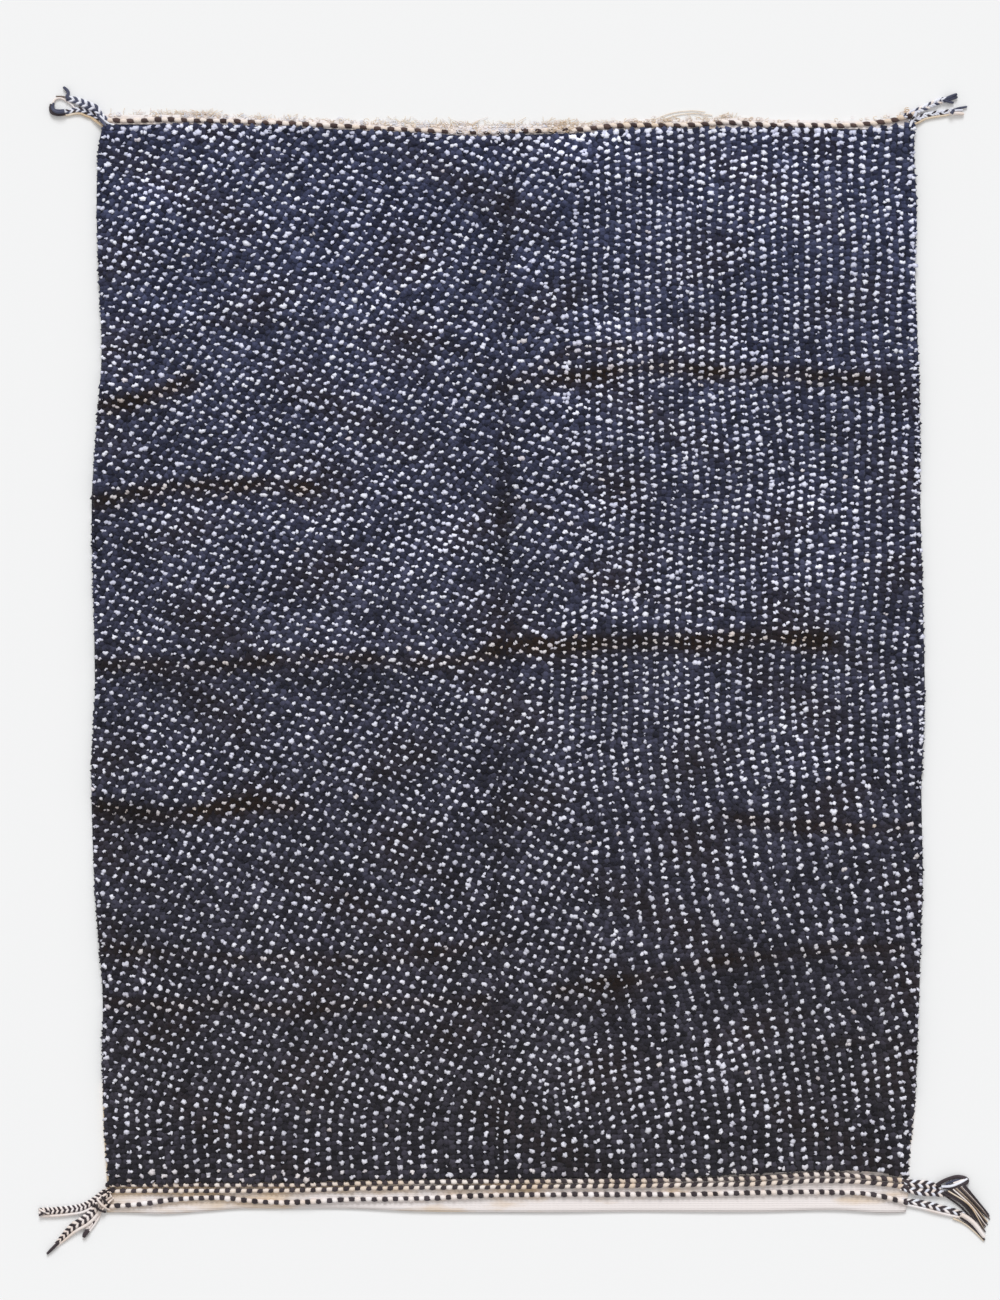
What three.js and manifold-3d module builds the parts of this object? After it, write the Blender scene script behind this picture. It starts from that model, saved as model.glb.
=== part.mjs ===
// A hand-knotted Moroccan wool rug, lying face up on the floor.
// Millimetres, +Z up, +Y along the rug's length. The origin is the middle of the underside.
// The knotted field and the flat-woven bands at its two ends are one cloth. Four cords of two
// yarns are twined across the bands, and each corner ends in a knot of plaits and loose yarns.

import * as THREE from 'three';
import { mergeVertices } from 'three/addons/utils/BufferGeometryUtils.js';
import Module from 'manifold-3d';

const wasm = await Module();
wasm.setup();

// Thicknesses of the cloth
const BAND_THICKNESS = 4;
const HEM_LIP = 2.6;
const FIELD_THICKNESS = 15;
const PILE_FOOT = 10.5;
const SELVEDGE_LIP = 7;
const SELVEDGE_SHOULDER = 12.5;

// How the rim of the cloth rounds over, measured inwards from its edge
const LIP_WIDTH = 4;
const SHOULDER_WIDTH = 14;
const PILE_FOOT_WIDTH = 2.5;

// The grid that the cloth is worked out on
const FIELD_ROWS = 46;
const FIELD_COLUMNS = [0.06, 0.13, 0.2, 0.27, 0.34, 0.41, 0.458, 0.484, 0.5, 0.516, 0.542,
	0.59, 0.66, 0.73, 0.8, 0.87, 0.94];

// Unevenness of the pile: long soft waves and shorter lumps
const WAVE_HEIGHT = 0.9;
const LUMP_HEIGHT = 0.7;
const UNDERSIDE_SLACK = 1.2;

// Twined cords
const CORD_WIDTH = 8;
const CORD_HEIGHT = 5;
const CORD_SIDES = 8;
const CORD_STEPS = 40;
const TOUCH_GAP = 0.3;

// Plaits and loose yarns at the corners
const PLAIT_PITCH = 12;
const PLAIT_SIDES = 8;
const PLAIT_RINGS_PER_PITCH = 3;
const PLAIT_SCALLOP = 0.16;
const PLAIT_FLATNESS = 0.64;
const YARN_SIDES = 4;
const YARN_STEP = 9;
const YARN_TAPER = 0.3;

// The two side edges of the cloth
const SIDE_EDGES = [
	{ y: -1005, left: -736, right: 725 },
	{ y: -975, left: -735, right: 730 },
	{ y: -924, left: -736, right: 730 },
	{ y: -870, left: -740, right: 735 },
	{ y: -814, left: -742, right: 741 },
	{ y: -705, left: -743, right: 745 },
	{ y: -595, left: -743, right: 750 },
	{ y: -485, left: -751, right: 752 },
	{ y: -375, left: -759, right: 756 },
	{ y: -210, left: -763, right: 754 },
	{ y: -46, left: -757, right: 760 },
	{ y: 119, left: -759, right: 756 },
	{ y: 284, left: -763, right: 752 },
	{ y: 448, left: -753, right: 750 },
	{ y: 558, left: -745, right: 748 },
	{ y: 723, left: -750, right: 741 },
	{ y: 833, left: -754, right: 745 },
	{ y: 942, left: -750, right: 740 },
	{ y: 985, left: -742, right: 741 },
	{ y: 1020, left: -740, right: 741 },
];

// The top end, from left to right: where the pile stops, the cord lies and the hem ends
const TOP_END = [
	{ x: -741, pile: 985, cord: 997, hem: 1007 },
	{ x: -662, pile: 985, cord: 995.5, hem: 1006 },
	{ x: -562, pile: 985, cord: 995.5, hem: 1006 },
	{ x: -459, pile: 983, cord: 992, hem: 1001 },
	{ x: -324, pile: 977, cord: 986, hem: 997 },
	{ x: -199, pile: 971, cord: 979, hem: 990 },
	{ x: -123, pile: 967, cord: 975.5, hem: 987 },
	{ x: -51, pile: 963, cord: 972.5, hem: 986 },
	{ x: 18, pile: 966, cord: 975.5, hem: 987 },
	{ x: 143, pile: 970, cord: 979.5, hem: 990 },
	{ x: 176, pile: 973, cord: 984.5, hem: 994 },
	{ x: 264, pile: 977, cord: 986.5, hem: 997 },
	{ x: 351, pile: 977, cord: 987.5, hem: 998 },
	{ x: 401, pile: 978, cord: 992, hem: 1001 },
	{ x: 448, pile: 978, cord: 988, hem: 998 },
	{ x: 529, pile: 977, cord: 986.5, hem: 996 },
	{ x: 630, pile: 976, cord: 987, hem: 997 },
	{ x: 706, pile: 978, cord: 997, hem: 1008 },
	{ x: 741, pile: 981, cord: 1007, hem: 1016 },
];

// The bottom end, from left to right: where the pile stops, the three cords lie and the hem ends
const BOTTOM_END = [
	{ x: -736, pile: -943.5, inner: -950.5, middle: -961.5, outer: -990, hem: -1001 },
	{ x: -675, pile: -943.5, inner: -950, middle: -961, outer: -985.5, hem: -1001 },
	{ x: -611, pile: -943.5, inner: -950, middle: -961, outer: -977, hem: -1004 },
	{ x: -533, pile: -943.5, inner: -950, middle: -961, outer: -973.5, hem: -999 },
	{ x: -474, pile: -943.5, inner: -950, middle: -961, outer: -979, hem: -994 },
	{ x: -410, pile: -943.5, inner: -950, middle: -960.5, outer: -982.5, hem: -994 },
	{ x: -291, pile: -941, inner: -947.5, middle: -957.5, outer: -977, hem: -994 },
	{ x: -163, pile: -938.5, inner: -945, middle: -955.5, outer: -975, hem: -999 },
	{ x: -35, pile: -937.5, inner: -944, middle: -954.5, outer: -969.5, hem: -1001 },
	{ x: 203, pile: -936, inner: -942.5, middle: -952, outer: -967.5, hem: -1000 },
	{ x: 331, pile: -933, inner: -940, middle: -950.5, outer: -967.5, hem: -1000 },
	{ x: 450, pile: -927, inner: -938, middle: -948.5, outer: -964.5, hem: -1000 },
	{ x: 578, pile: -922, inner: -930, middle: -942.5, outer: -963.5, hem: -997 },
	{ x: 661, pile: -927, inner: -936.5, middle: -946.5, outer: -967.5, hem: -1002 },
	{ x: 727, pile: -936, inner: -943, middle: -954, outer: -982, hem: -1000 },
];

// Creases left from when the rug was stored folded. Each runs across the rug along its route and
// has a ridge above it, with a long slope on the far side and a short one down to the crease.
const RIDGES = [
	{ rise: 3.5, above: 70, below: 45, route: [[-730, 576], [-565, 622], [-327, 622], [-90, 576], [-35, 540]] },
	{ rise: 5, above: 45, below: 26, route: [[-740, 479], [-657, 494], [-600, 515]] },
	{ rise: 4, above: 45, below: 30, route: [[-7, 512], [93, 567], [240, 586]] },
	{ rise: 7, above: 55, below: 30, route: [[70, 520], [150, 534], [240, 545], [386, 540], [532, 533],
		[640, 527]] },
	{ rise: 7, above: 55, below: 30, route: [[-745, 303], [-657, 318], [-565, 331], [-474, 331], [-380, 326]] },
	{ rise: 6, above: 50, below: 32, route: [[-740, 5], [-565, 2], [-382, 13], [-291, 18], [-163, 5],
		[-35, 24]] },
	{ rise: 8, above: 60, below: 32, route: [[-10, 36], [93, 42], [240, 44], [350, 48], [459, 51], [565, 49]] },
	{ rise: 7, above: 50, below: 30, route: [[-740, -256], [-639, -275], [-565, -262], [-492, -251],
		[-410, -258]] },
	{ rise: 5, above: 60, below: 40, route: [[420, -275], [533, -293], [710, -293]] },
	{ rise: 5, above: 60, below: 38, route: [[-735, -512], [-565, -531], [-199, -531], [-126, -522],
		[-35, -500]] },
	{ rise: 3, above: 45, below: 35, route: [[-730, -613], [-474, -619], [-382, -628], [-199, -613],
		[-60, -613]] },
	{ rise: 4, above: 80, below: 60, route: [[93, -595], [240, -567], [386, -540], [532, -522], [700, -512]] },
	{ rise: 3, above: 60, below: 45, route: [[560, -695], [720, -677]] },
];
const RIDGE_FADE = 60;
const RIDGE_SETBACK = 16;

// Beside the lengthwise crease the ridges flatten out over this width
const RIDGE_GAP = 90;

// The lengthwise crease, a shallow valley where the pile parts
const VALLEY_DEPTH = 3;
const VALLEY_WIDTH = 18;
const VALLEY_FADE = 60;
const VALLEY = [
	{ y: -939, x: -16 },
	{ y: -595, x: -22 },
	{ y: -320, x: -17 },
	{ y: 10, x: -8 },
	{ y: 668, x: -7 },
	{ y: 942, x: 6 },
];

// Corner pieces. A plait is [x, y, width] along its route, and a yarn is [x, y, z] of its middle with
// its thickness. A fan is a number of yarns spread evenly between its first and its last one.
const CORNERS = [
	{
		name: 'plaits_top_left',
		head: { x: -750, y: 1002, width: 14, length: 20, height: 9 },
		plaits: [
			[[-750, 1010, 12], [-757, 1018, 15], [-768, 1022, 16], [-781, 1028, 15], [-796, 1033.5, 13],
				[-809, 1036, 11]],
			[[-751, 998, 12], [-761, 1005, 13], [-771, 1009, 14], [-783, 1013.5, 14], [-796, 1013, 13],
				[-807, 1010.5, 13], [-818, 1011, 11], [-826, 1010, 10.6], [-834, 1013, 10.6],
				[-837, 1021, 9], [-835.5, 1029, 7]],
		],
		yarns: [
			{ thick: 6.5, route: [[-803, 1035, 5], [-809, 1039, 5], [-805.5, 1045, 4.5], [-809, 1052, 4],
				[-815, 1057, 3.5]] },
			{ thick: 3, route: [[-804, 1037, 3], [-816, 1039.5, 2.5], [-829, 1040.5, 1.6]] },
			{ thick: 4, route: [[-835, 1026, 3], [-830, 1035, 2.2], [-820, 1037, 2.2], [-808, 1031, 2.2],
				[-798, 1023, 3], [-794, 1017, 3.5]] },
		],
		fans: [],
	},
	{
		name: 'plaits_top_right',
		head: { x: 749.5, y: 1005, width: 14, length: 22, height: 9 },
		plaits: [
			[[751, 1013, 11], [757, 1018, 12], [767, 1022.5, 12], [779, 1028, 12], [795, 1034, 11],
				[807, 1038, 11], [819, 1042, 8]],
			[[750, 998, 12], [759, 1003, 13], [771, 1006, 13], [783, 1008, 13], [796, 1009.5, 12],
				[812, 1012.5, 12]],
		],
		yarns: [
			{ thick: 5, route: [[797, 1034, 5], [806, 1029, 4], [815, 1029.5, 3]] },
			{ thick: 7, route: [[804, 1009, 5], [818, 1009, 4.5], [832, 1008, 3.5]] },
			{ thick: 4.5, route: [[810, 1014, 4.5], [822, 1018, 3.5], [838, 1021.5, 2.3]] },
		],
		fans: [],
	},
	{
		name: 'plaits_bottom_left',
		head: { x: -745, y: -976, width: 16, length: 30, height: 10 },
		plaits: [
			[[-747, -972, 15], [-762, -984, 18], [-779, -993, 19], [-803, -997.5, 19], [-828, -1000, 19],
				[-859, -1001.5, 18]],
			[[-749, -987, 15], [-760, -1002, 20], [-774, -1015, 22], [-796, -1029, 20], [-815, -1047, 14],
				[-829, -1061, 9], [-836, -1068, 6.5], [-845, -1077, 4]],
			[[-748, -992, 10], [-754, -1008, 12], [-764, -1024, 12], [-771, -1034, 11], [-775, -1040, 9],
				[-778, -1046, 7]],
		],
		yarns: [],
		fans: [],
	},
	{
		name: 'plaits_bottom_right',
		head: { x: 742, y: -964, width: 16, length: 50, height: 10 },
		plaits: [
			[[739, -948, 13], [752, -949, 15], [766, -950, 15], [779, -954, 14], [790, -957, 12]],
			[[739, -961, 14], [753, -963.5, 15], [766, -964, 15], [780, -964.5, 15], [797, -967, 14]],
			[[739, -984, 16], [753, -986.5, 17], [766, -989.5, 18], [793, -996.5, 18], [819, -1003, 16],
				[831, -1006.5, 12], [838, -1011, 9], [851, -1022, 9], [869, -1046, 7]],
		],
		yarns: [
			{ thick: 7, route: [[781, -951, 6], [792, -944, 7], [804, -939, 6], [822, -935.5, 4], [838, -940, 4],
				[838, -946, 4.5], [825, -950, 6], [808, -956, 7], [793, -956, 7]] },
			{ thick: 4.5, route: [[792, -952, 8], [806, -951, 8], [822, -946, 6], [836, -939, 4.5]] },
			{ thick: 5, route: [[826, -1010, 4], [840, -1021, 3], [855, -1035, 2.5], [870, -1052, 2.5]] },
		],
		fans: [
			{ count: 10, thick: 5, first: [[790, -966, 4], [831, -993, 2.5], [868, -1047, 2.5]],
				last: [[836, -951, 4], [861, -984, 2.5], [880, -1006, 2.5]] },
		],
	},
];

// Wool colours
const PILE_COLOUR = 0x30323f;
const CORD_COLOUR = 0x8d8683;
const PLAIT_COLOUR = 0x77716f;

// Value of one column of a table at a place along another, smooth through the rows
function follow(table, along, column, at) {
	const last = table.length - 1;
	const place = THREE.MathUtils.clamp(at, table[0][along], table[last][along]);
	let row = 0;
	while (row < last - 1 && table[row + 1][along] < place) row += 1;
	const slope = (a, b) => (table[b][column] - table[a][column]) / (table[b][along] - table[a][along]);
	const span = table[row + 1][along] - table[row][along];
	const here = slope(row, row + 1);
	const before = row > 0 ? (slope(row - 1, row) + here) / 2 : here;
	const after = row < last - 1 ? (slope(row + 1, row + 2) + here) / 2 : here;
	const t = (place - table[row][along]) / span;
	const s = t * t * (3 - 2 * t);
	const startPull = t * (1 - t) * (1 - t) * before * span;
	const endPull = t * t * (t - 1) * after * span;
	return table[row][column] * (1 - s) + table[row + 1][column] * s + startPull + endPull;
}

// One at the middle of a span, easing to nothing over the fade at each end
function faded(at, from, to, fade) {
	const risen = THREE.MathUtils.smoothstep(at, from - fade, from);
	const fallen = THREE.MathUtils.smoothstep(at, to, to + fade);
	return risen * (1 - fallen);
}

// How far the creases lift the cloth at a point
function ridgeHeight(x, y) {
	let height = 0;
	for (const { rise, above, below, route } of RIDGES) {
		const from = route[0][0];
		const to = route[route.length - 1][0];
		const across = y - follow(route, 0, 1, x) - RIDGE_SETBACK;
		const reach = across > 0 ? above : below;
		height += rise * faded(x, from, to, RIDGE_FADE) * Math.exp(-((across / reach) ** 2));
	}
	const fromValley = x - follow(VALLEY, 'y', 'x', y);
	return height * (1 - Math.exp(-((fromValley / RIDGE_GAP) ** 2)));
}

// How deep the lengthwise crease is at a point
function valleyDepth(x, y) {
	const from = VALLEY[0].y;
	const to = VALLEY[VALLEY.length - 1].y;
	const across = x - follow(VALLEY, 'y', 'x', y);
	return VALLEY_DEPTH * faded(y, from + VALLEY_FADE, to - VALLEY_FADE, VALLEY_FADE)
		* Math.exp(-((across / VALLEY_WIDTH) ** 2));
}

// The pile's own unevenness at a point
function lumps(x, y) {
	const wave = Math.sin(x / 131 + 1.3) * Math.cos(y / 97 + 0.4) + Math.sin((x - y) / 173);
	const lump = Math.sin(x / 38 + y / 61) * Math.cos(y / 43 - x / 88);
	return WAVE_HEIGHT * wave + LUMP_HEIGHT * lump;
}

// Gives a mesh from a closed grid of rings, each a list of points, with flat caps on the ends
function closedRings(rings) {
	const sides = rings[0].length;
	const positions = rings.flat().flatMap((p) => [p.x, p.y, p.z]);
	const index = [];
	for (let ring = 0; ring < rings.length - 1; ring += 1) {
		for (let side = 0; side < sides; side += 1) {
			const next = (side + 1) % sides;
			const a = ring * sides + side;
			const b = ring * sides + next;
			const c = a + sides;
			const d = b + sides;
			index.push(a, b, d, a, d, c);
		}
	}
	const end = (rings.length - 1) * sides;
	for (let side = 1; side < sides - 1; side += 1) {
		index.push(0, side + 1, side);
		index.push(end, end + side, end + side + 1);
	}
	const geometry = new THREE.BufferGeometry();
	geometry.setAttribute('position', new THREE.Float32BufferAttribute(positions, 3));
	geometry.setIndex(index);
	return geometry;
}

// The rows of the cloth from the bottom hem to the top hem: the height of the rug's face on
// each, and how far along the rug it lies at a given x
function clothRows() {
	const bottom = (column) => (x) => follow(BOTTOM_END, 'x', column, x);
	const top = (column) => (x) => follow(TOP_END, 'x', column, x);
	const shifted = (line, by) => (x) => line(x) + by;
	const rows = [
		{ line: bottom('hem'), height: HEM_LIP },
		{ line: shifted(bottom('hem'), LIP_WIDTH), height: BAND_THICKNESS },
		{ line: bottom('pile'), height: BAND_THICKNESS },
		{ line: shifted(bottom('pile'), PILE_FOOT_WIDTH), height: PILE_FOOT },
	];
	const first = shifted(bottom('pile'), SHOULDER_WIDTH);
	const last = shifted(top('pile'), -SHOULDER_WIDTH);
	for (let row = 0; row <= FIELD_ROWS; row += 1) {
		const share = row / FIELD_ROWS;
		const line = (x) => THREE.MathUtils.lerp(first(x), last(x), share);
		rows.push({ line, height: FIELD_THICKNESS, field: true });
	}
	rows.push(
		{ line: shifted(top('pile'), -PILE_FOOT_WIDTH), height: PILE_FOOT },
		{ line: top('pile'), height: BAND_THICKNESS },
		{ line: shifted(top('hem'), -LIP_WIDTH), height: BAND_THICKNESS },
		{ line: top('hem'), height: HEM_LIP },
	);
	return rows;
}

// The columns of the cloth from the left edge to the right: a share of the width, moved
// inwards from the edge by a margin, and the most that the face can stand there
function clothColumns() {
	return [
		{ share: 0, margin: 0, limit: SELVEDGE_LIP },
		{ share: 0, margin: LIP_WIDTH, limit: SELVEDGE_SHOULDER },
		{ share: 0, margin: SHOULDER_WIDTH, limit: Infinity },
		...FIELD_COLUMNS.map((share) => ({ share, margin: 0, limit: Infinity })),
		{ share: 1, margin: -SHOULDER_WIDTH, limit: Infinity },
		{ share: 1, margin: -LIP_WIDTH, limit: SELVEDGE_SHOULDER },
		{ share: 1, margin: 0, limit: SELVEDGE_LIP },
	];
}

// The cloth: its face and its underside on one grid, closed by a wall round the rim
function clothGeometry() {
	const rows = clothRows();
	const columns = clothColumns();
	const across = columns.length;
	const face = [];
	const underside = [];
	const middleLeft = SIDE_EDGES[0].left;
	const middleRight = SIDE_EDGES[0].right;
	rows.forEach(({ line, height, field }, row) => {
		columns.forEach(({ share, margin, limit }, column) => {
			const y = line(THREE.MathUtils.lerp(middleLeft, middleRight, share));
			const left = follow(SIDE_EDGES, 'y', 'left', y);
			const right = follow(SIDE_EDGES, 'y', 'right', y);
			const x = THREE.MathUtils.lerp(left, right, share) + margin;
			const lift = field ? ridgeHeight(x, y) : 0;
			const relief = field ? lift + lumps(x, y) - valleyDepth(x, y) : 0;
			const onRim = row === 0 || row === rows.length - 1 || column === 0 || column === across - 1;
			const top = Math.min(height, limit) + relief;
			const bottom = onRim ? 0 : Math.max(0, lift - UNDERSIDE_SLACK);
			face.push(x, y, onRim ? Math.min(height, limit) : top);
			underside.push(x, y, bottom);
		});
	});
	const under = rows.length * across;
	const index = [];
	for (let row = 0; row < rows.length - 1; row += 1) {
		for (let column = 0; column < across - 1; column += 1) {
			const a = row * across + column;
			const b = a + 1;
			const c = a + across;
			const d = c + 1;
			index.push(a, b, d, a, d, c);
			index.push(under + a, under + d, under + b, under + a, under + c, under + d);
		}
	}
	const wall = (a, b) => index.push(a, under + a, under + b, a, under + b, b);
	const lastRow = (rows.length - 1) * across;
	for (let column = 0; column < across - 1; column += 1) {
		wall(column, column + 1);
		wall(lastRow + column + 1, lastRow + column);
	}
	for (let row = 0; row < rows.length - 1; row += 1) {
		wall((row + 1) * across, row * across);
		wall(row * across + across - 1, (row + 1) * across + across - 1);
	}
	const geometry = new THREE.BufferGeometry();
	geometry.setAttribute('position', new THREE.Float32BufferAttribute([...face, ...underside], 3));
	geometry.setIndex(index);
	geometry.computeVertexNormals();
	return geometry;
}

// A cord lying on a band, along one column of the table of that end
function cordGeometry(table, column) {
	const height = BAND_THICKNESS + TOUCH_GAP + CORD_HEIGHT / 2;
	const points = table.map((row) => new THREE.Vector3(row.x, row[column], height));
	points[0].x += CORD_HEIGHT;
	points[points.length - 1].x -= CORD_HEIGHT;
	const section = new THREE.Shape();
	section.absellipse(0, 0, CORD_HEIGHT / 2, CORD_WIDTH / 2, 0, Math.PI * 2);
	return new THREE.ExtrudeGeometry(section, {
		steps: CORD_STEPS,
		curveSegments: CORD_SIDES / 2,
		extrudePath: new THREE.CatmullRomCurve3(points, false, 'centripetal'),
	});
}

// A plait lying on the floor: a flattened tube whose two sides bulge by turns. Its curve holds
// the width in the place of z.
function plaitGeometry(route) {
	const stations = route.map(([x, y, width]) => new THREE.Vector3(x, y, width));
	const curve = new THREE.CatmullRomCurve3(stations, false, 'centripetal');
	const length = curve.getLength();
	const count = Math.round(length / PLAIT_PITCH * PLAIT_RINGS_PER_PITCH);
	const rings = [];
	for (let ring = 0; ring <= count; ring += 1) {
		const along = ring / count;
		const middle = curve.getPointAt(along);
		const tangent = curve.getTangentAt(along).setZ(0).normalize();
		const half = middle.z / 2;
		const turn = along * length / PLAIT_PITCH * Math.PI * 2;
		const ringPoints = [];
		for (let side = 0; side < PLAIT_SIDES; side += 1) {
			const angle = (side + 0.5) / PLAIT_SIDES * Math.PI * 2;
			const sideways = Math.cos(angle);
			const bulge = 1 + PLAIT_SCALLOP * Math.cos(turn + (sideways > 0 ? 0 : Math.PI));
			const across = sideways * half * bulge;
			const up = (1 + Math.sin(angle) * bulge) * half * PLAIT_FLATNESS;
			ringPoints.push(new THREE.Vector3(
				middle.x - tangent.y * across,
				middle.y + tangent.x * across,
				Math.sin(angle) < -0.5 ? 0 : up,
			));
		}
		rings.push(ringPoints);
	}
	return closedRings(rings);
}

// A loose yarn: a thin square tube along its route, thinner at its tip
function yarnGeometry({ thick, route }) {
	const stations = route.map(([x, y, z]) => new THREE.Vector3(x, y, z));
	const curve = new THREE.CatmullRomCurve3(stations, false, 'centripetal');
	const count = Math.max(3, Math.round(curve.getLength() / YARN_STEP));
	const rings = [];
	for (let ring = 0; ring <= count; ring += 1) {
		const along = ring / count;
		const middle = curve.getPointAt(along);
		const tangent = curve.getTangentAt(along).setZ(0).normalize();
		const half = thick / 2 * (1 - YARN_TAPER * along ** 4);
		const ringPoints = [];
		for (let side = 0; side < YARN_SIDES; side += 1) {
			const angle = side / YARN_SIDES * Math.PI * 2;
			const across = Math.cos(angle) * half;
			const up = Math.sin(angle) * half;
			ringPoints.push(new THREE.Vector3(
				middle.x - tangent.y * across,
				middle.y + tangent.x * across,
				Math.max(0, middle.z + up),
			));
		}
		rings.push(ringPoints);
	}
	return closedRings(rings);
}

// The yarns of a fan, with routes between those of the first and the last one
function fanYarns({ count, thick, first, last }) {
	const yarns = [];
	for (let yarn = 0; yarn < count; yarn += 1) {
		const share = yarn / (count - 1);
		const between = (point, i) => point.map((value, axis) => THREE.MathUtils.lerp(value, last[i][axis], share));
		yarns.push({ thick, route: first.map(between) });
	}
	return yarns;
}

// The knot at a corner that its plaits grow from, with its underside on the floor
function headGeometry({ x, y, width, length, height }) {
	const geometry = new THREE.SphereGeometry(1, 12, 8);
	geometry.rotateX(Math.PI / 2);
	geometry.scale(width / 2, length / 2, height);
	geometry.translate(x, y, 0);
	const position = geometry.attributes.position;
	for (let i = 0; i < position.count; i += 1) {
		position.setZ(i, Math.max(0, position.getZ(i)));
	}
	return geometry;
}

// Geometry to a solid that can be joined, and back
function toSolid(geometry) {
	const plain = geometry.clone();
	plain.deleteAttribute('normal');
	plain.deleteAttribute('uv');
	const merged = mergeVertices(plain, 1e-4);
	const mesh = new wasm.Mesh({
		numProp: 3,
		vertProperties: new Float32Array(merged.attributes.position.array),
		triVerts: new Uint32Array(merged.index.array),
	});
	return new wasm.Manifold(mesh);
}

function fromSolid(solid) {
	const { vertProperties, triVerts } = solid.getMesh();
	const geometry = new THREE.BufferGeometry();
	geometry.setAttribute('position', new THREE.BufferAttribute(vertProperties, 3));
	geometry.setIndex(new THREE.BufferAttribute(triVerts, 1));
	geometry.computeVertexNormals();
	return geometry;
}

// One corner: its knot, plaits and loose yarns joined into one solid
function cornerGeometry({ head, plaits, yarns, fans }) {
	const pieces = [
		headGeometry(head),
		...plaits.map(plaitGeometry),
		...yarns.map(yarnGeometry),
		...fans.flatMap(fanYarns).map(yarnGeometry),
	];
	return fromSolid(pieces.map(toSolid).reduce((joined, piece) => joined.add(piece)));
}

function woolMesh(name, geometry, color) {
	const material = new THREE.MeshStandardMaterial({ color, roughness: 0.95, metalness: 0 });
	const mesh = new THREE.Mesh(geometry, material);
	mesh.name = name;
	return mesh;
}

const rug = new THREE.Group();

rug.add(woolMesh('cloth', clothGeometry(), PILE_COLOUR));

const cords = new THREE.Group();
cords.add(
	woolMesh('cord_top', cordGeometry(TOP_END, 'cord'), CORD_COLOUR),
	woolMesh('cord_bottom_inner', cordGeometry(BOTTOM_END, 'inner'), CORD_COLOUR),
	woolMesh('cord_bottom_middle', cordGeometry(BOTTOM_END, 'middle'), CORD_COLOUR),
	woolMesh('cord_bottom_outer', cordGeometry(BOTTOM_END, 'outer'), CORD_COLOUR),
);
rug.add(cords);

const corners = new THREE.Group();
corners.add(...CORNERS.map((corner) => woolMesh(corner.name, cornerGeometry(corner), PLAIT_COLOUR)));
rug.add(corners);

export default rug;
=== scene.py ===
import bpy
import math
import numpy as np
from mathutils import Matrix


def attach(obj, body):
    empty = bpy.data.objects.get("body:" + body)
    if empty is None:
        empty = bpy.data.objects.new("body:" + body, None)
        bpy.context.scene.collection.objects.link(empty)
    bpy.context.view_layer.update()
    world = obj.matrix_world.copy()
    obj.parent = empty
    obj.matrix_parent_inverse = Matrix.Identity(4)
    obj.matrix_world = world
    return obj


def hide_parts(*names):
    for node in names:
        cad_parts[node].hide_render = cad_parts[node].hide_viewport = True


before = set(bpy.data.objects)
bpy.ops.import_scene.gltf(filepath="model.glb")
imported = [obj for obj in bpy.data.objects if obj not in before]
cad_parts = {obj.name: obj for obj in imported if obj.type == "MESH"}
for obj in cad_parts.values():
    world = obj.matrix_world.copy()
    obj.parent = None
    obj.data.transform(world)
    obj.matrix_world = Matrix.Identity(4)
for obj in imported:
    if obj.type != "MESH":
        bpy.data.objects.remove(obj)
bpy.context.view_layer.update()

mm = 0.001
photoPixel = 1.83  # millimetres of rug to a pixel of a 1000 by 1300 picture
dice = np.random.default_rng(57)
scene = bpy.context.scene


# Camera, straight above, square on to the rug.
cameraSetup = {"height": 6.0, "middleX": -16.5, "middleY": 27.5, "frameLength": 1300 * photoPixel,
               "sensor": 36}

bpy.ops.object.select_all(action="DESELECT")
bpy.ops.object.camera_add(location=(cameraSetup["middleX"] * mm, cameraSetup["middleY"] * mm,
                                    cameraSetup["height"]))
camera = bpy.context.object
camera.name = "overheadCamera"
camera.data.sensor_width = cameraSetup["sensor"]
camera.data.lens = cameraSetup["sensor"] * cameraSetup["height"] / (cameraSetup["frameLength"] * mm)
scene.camera = camera
print("camera is set")


# In the tables and formulas below lengths are in millimetres. Small unevenness comes from sums of sines:
# there a number under a place is a wave's length over two pi, a number added to it shifts the wave, and
# the factor in front is its height.

# The rug's outline and creases, in millimetres from the middle of its underside.
# distance along the rug, left edge, right edge
sideEdges = [
    (-1005, -736, 725), (-975, -735, 730), (-924, -736, 730), (-870, -740, 735), (-814, -742, 741),
    (-705, -743, 745), (-595, -743, 750), (-485, -751, 752), (-375, -759, 756), (-210, -763, 754),
    (-46, -757, 760), (119, -759, 756), (284, -763, 752), (448, -753, 750), (558, -745, 748),
    (723, -750, 741), (833, -754, 745), (942, -750, 740), (985, -742, 741), (1020, -740, 741),
]
# distance across, end of the pile, twined cord, hem
topEnd = [
    (-741, 985, 997, 1007), (-662, 985, 995.5, 1006), (-562, 985, 995.5, 1006), (-459, 983, 992, 1001),
    (-324, 977, 986, 997), (-199, 971, 979, 990), (-123, 967, 975.5, 987), (-51, 963, 972.5, 986),
    (18, 966, 975.5, 987), (143, 970, 979.5, 990), (176, 973, 984.5, 994), (264, 977, 986.5, 997),
    (351, 977, 987.5, 998), (401, 978, 992, 1001), (448, 978, 988, 998), (529, 977, 986.5, 996),
    (630, 976, 987, 997), (706, 978, 997, 1008), (741, 981, 1007, 1016),
]
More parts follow.
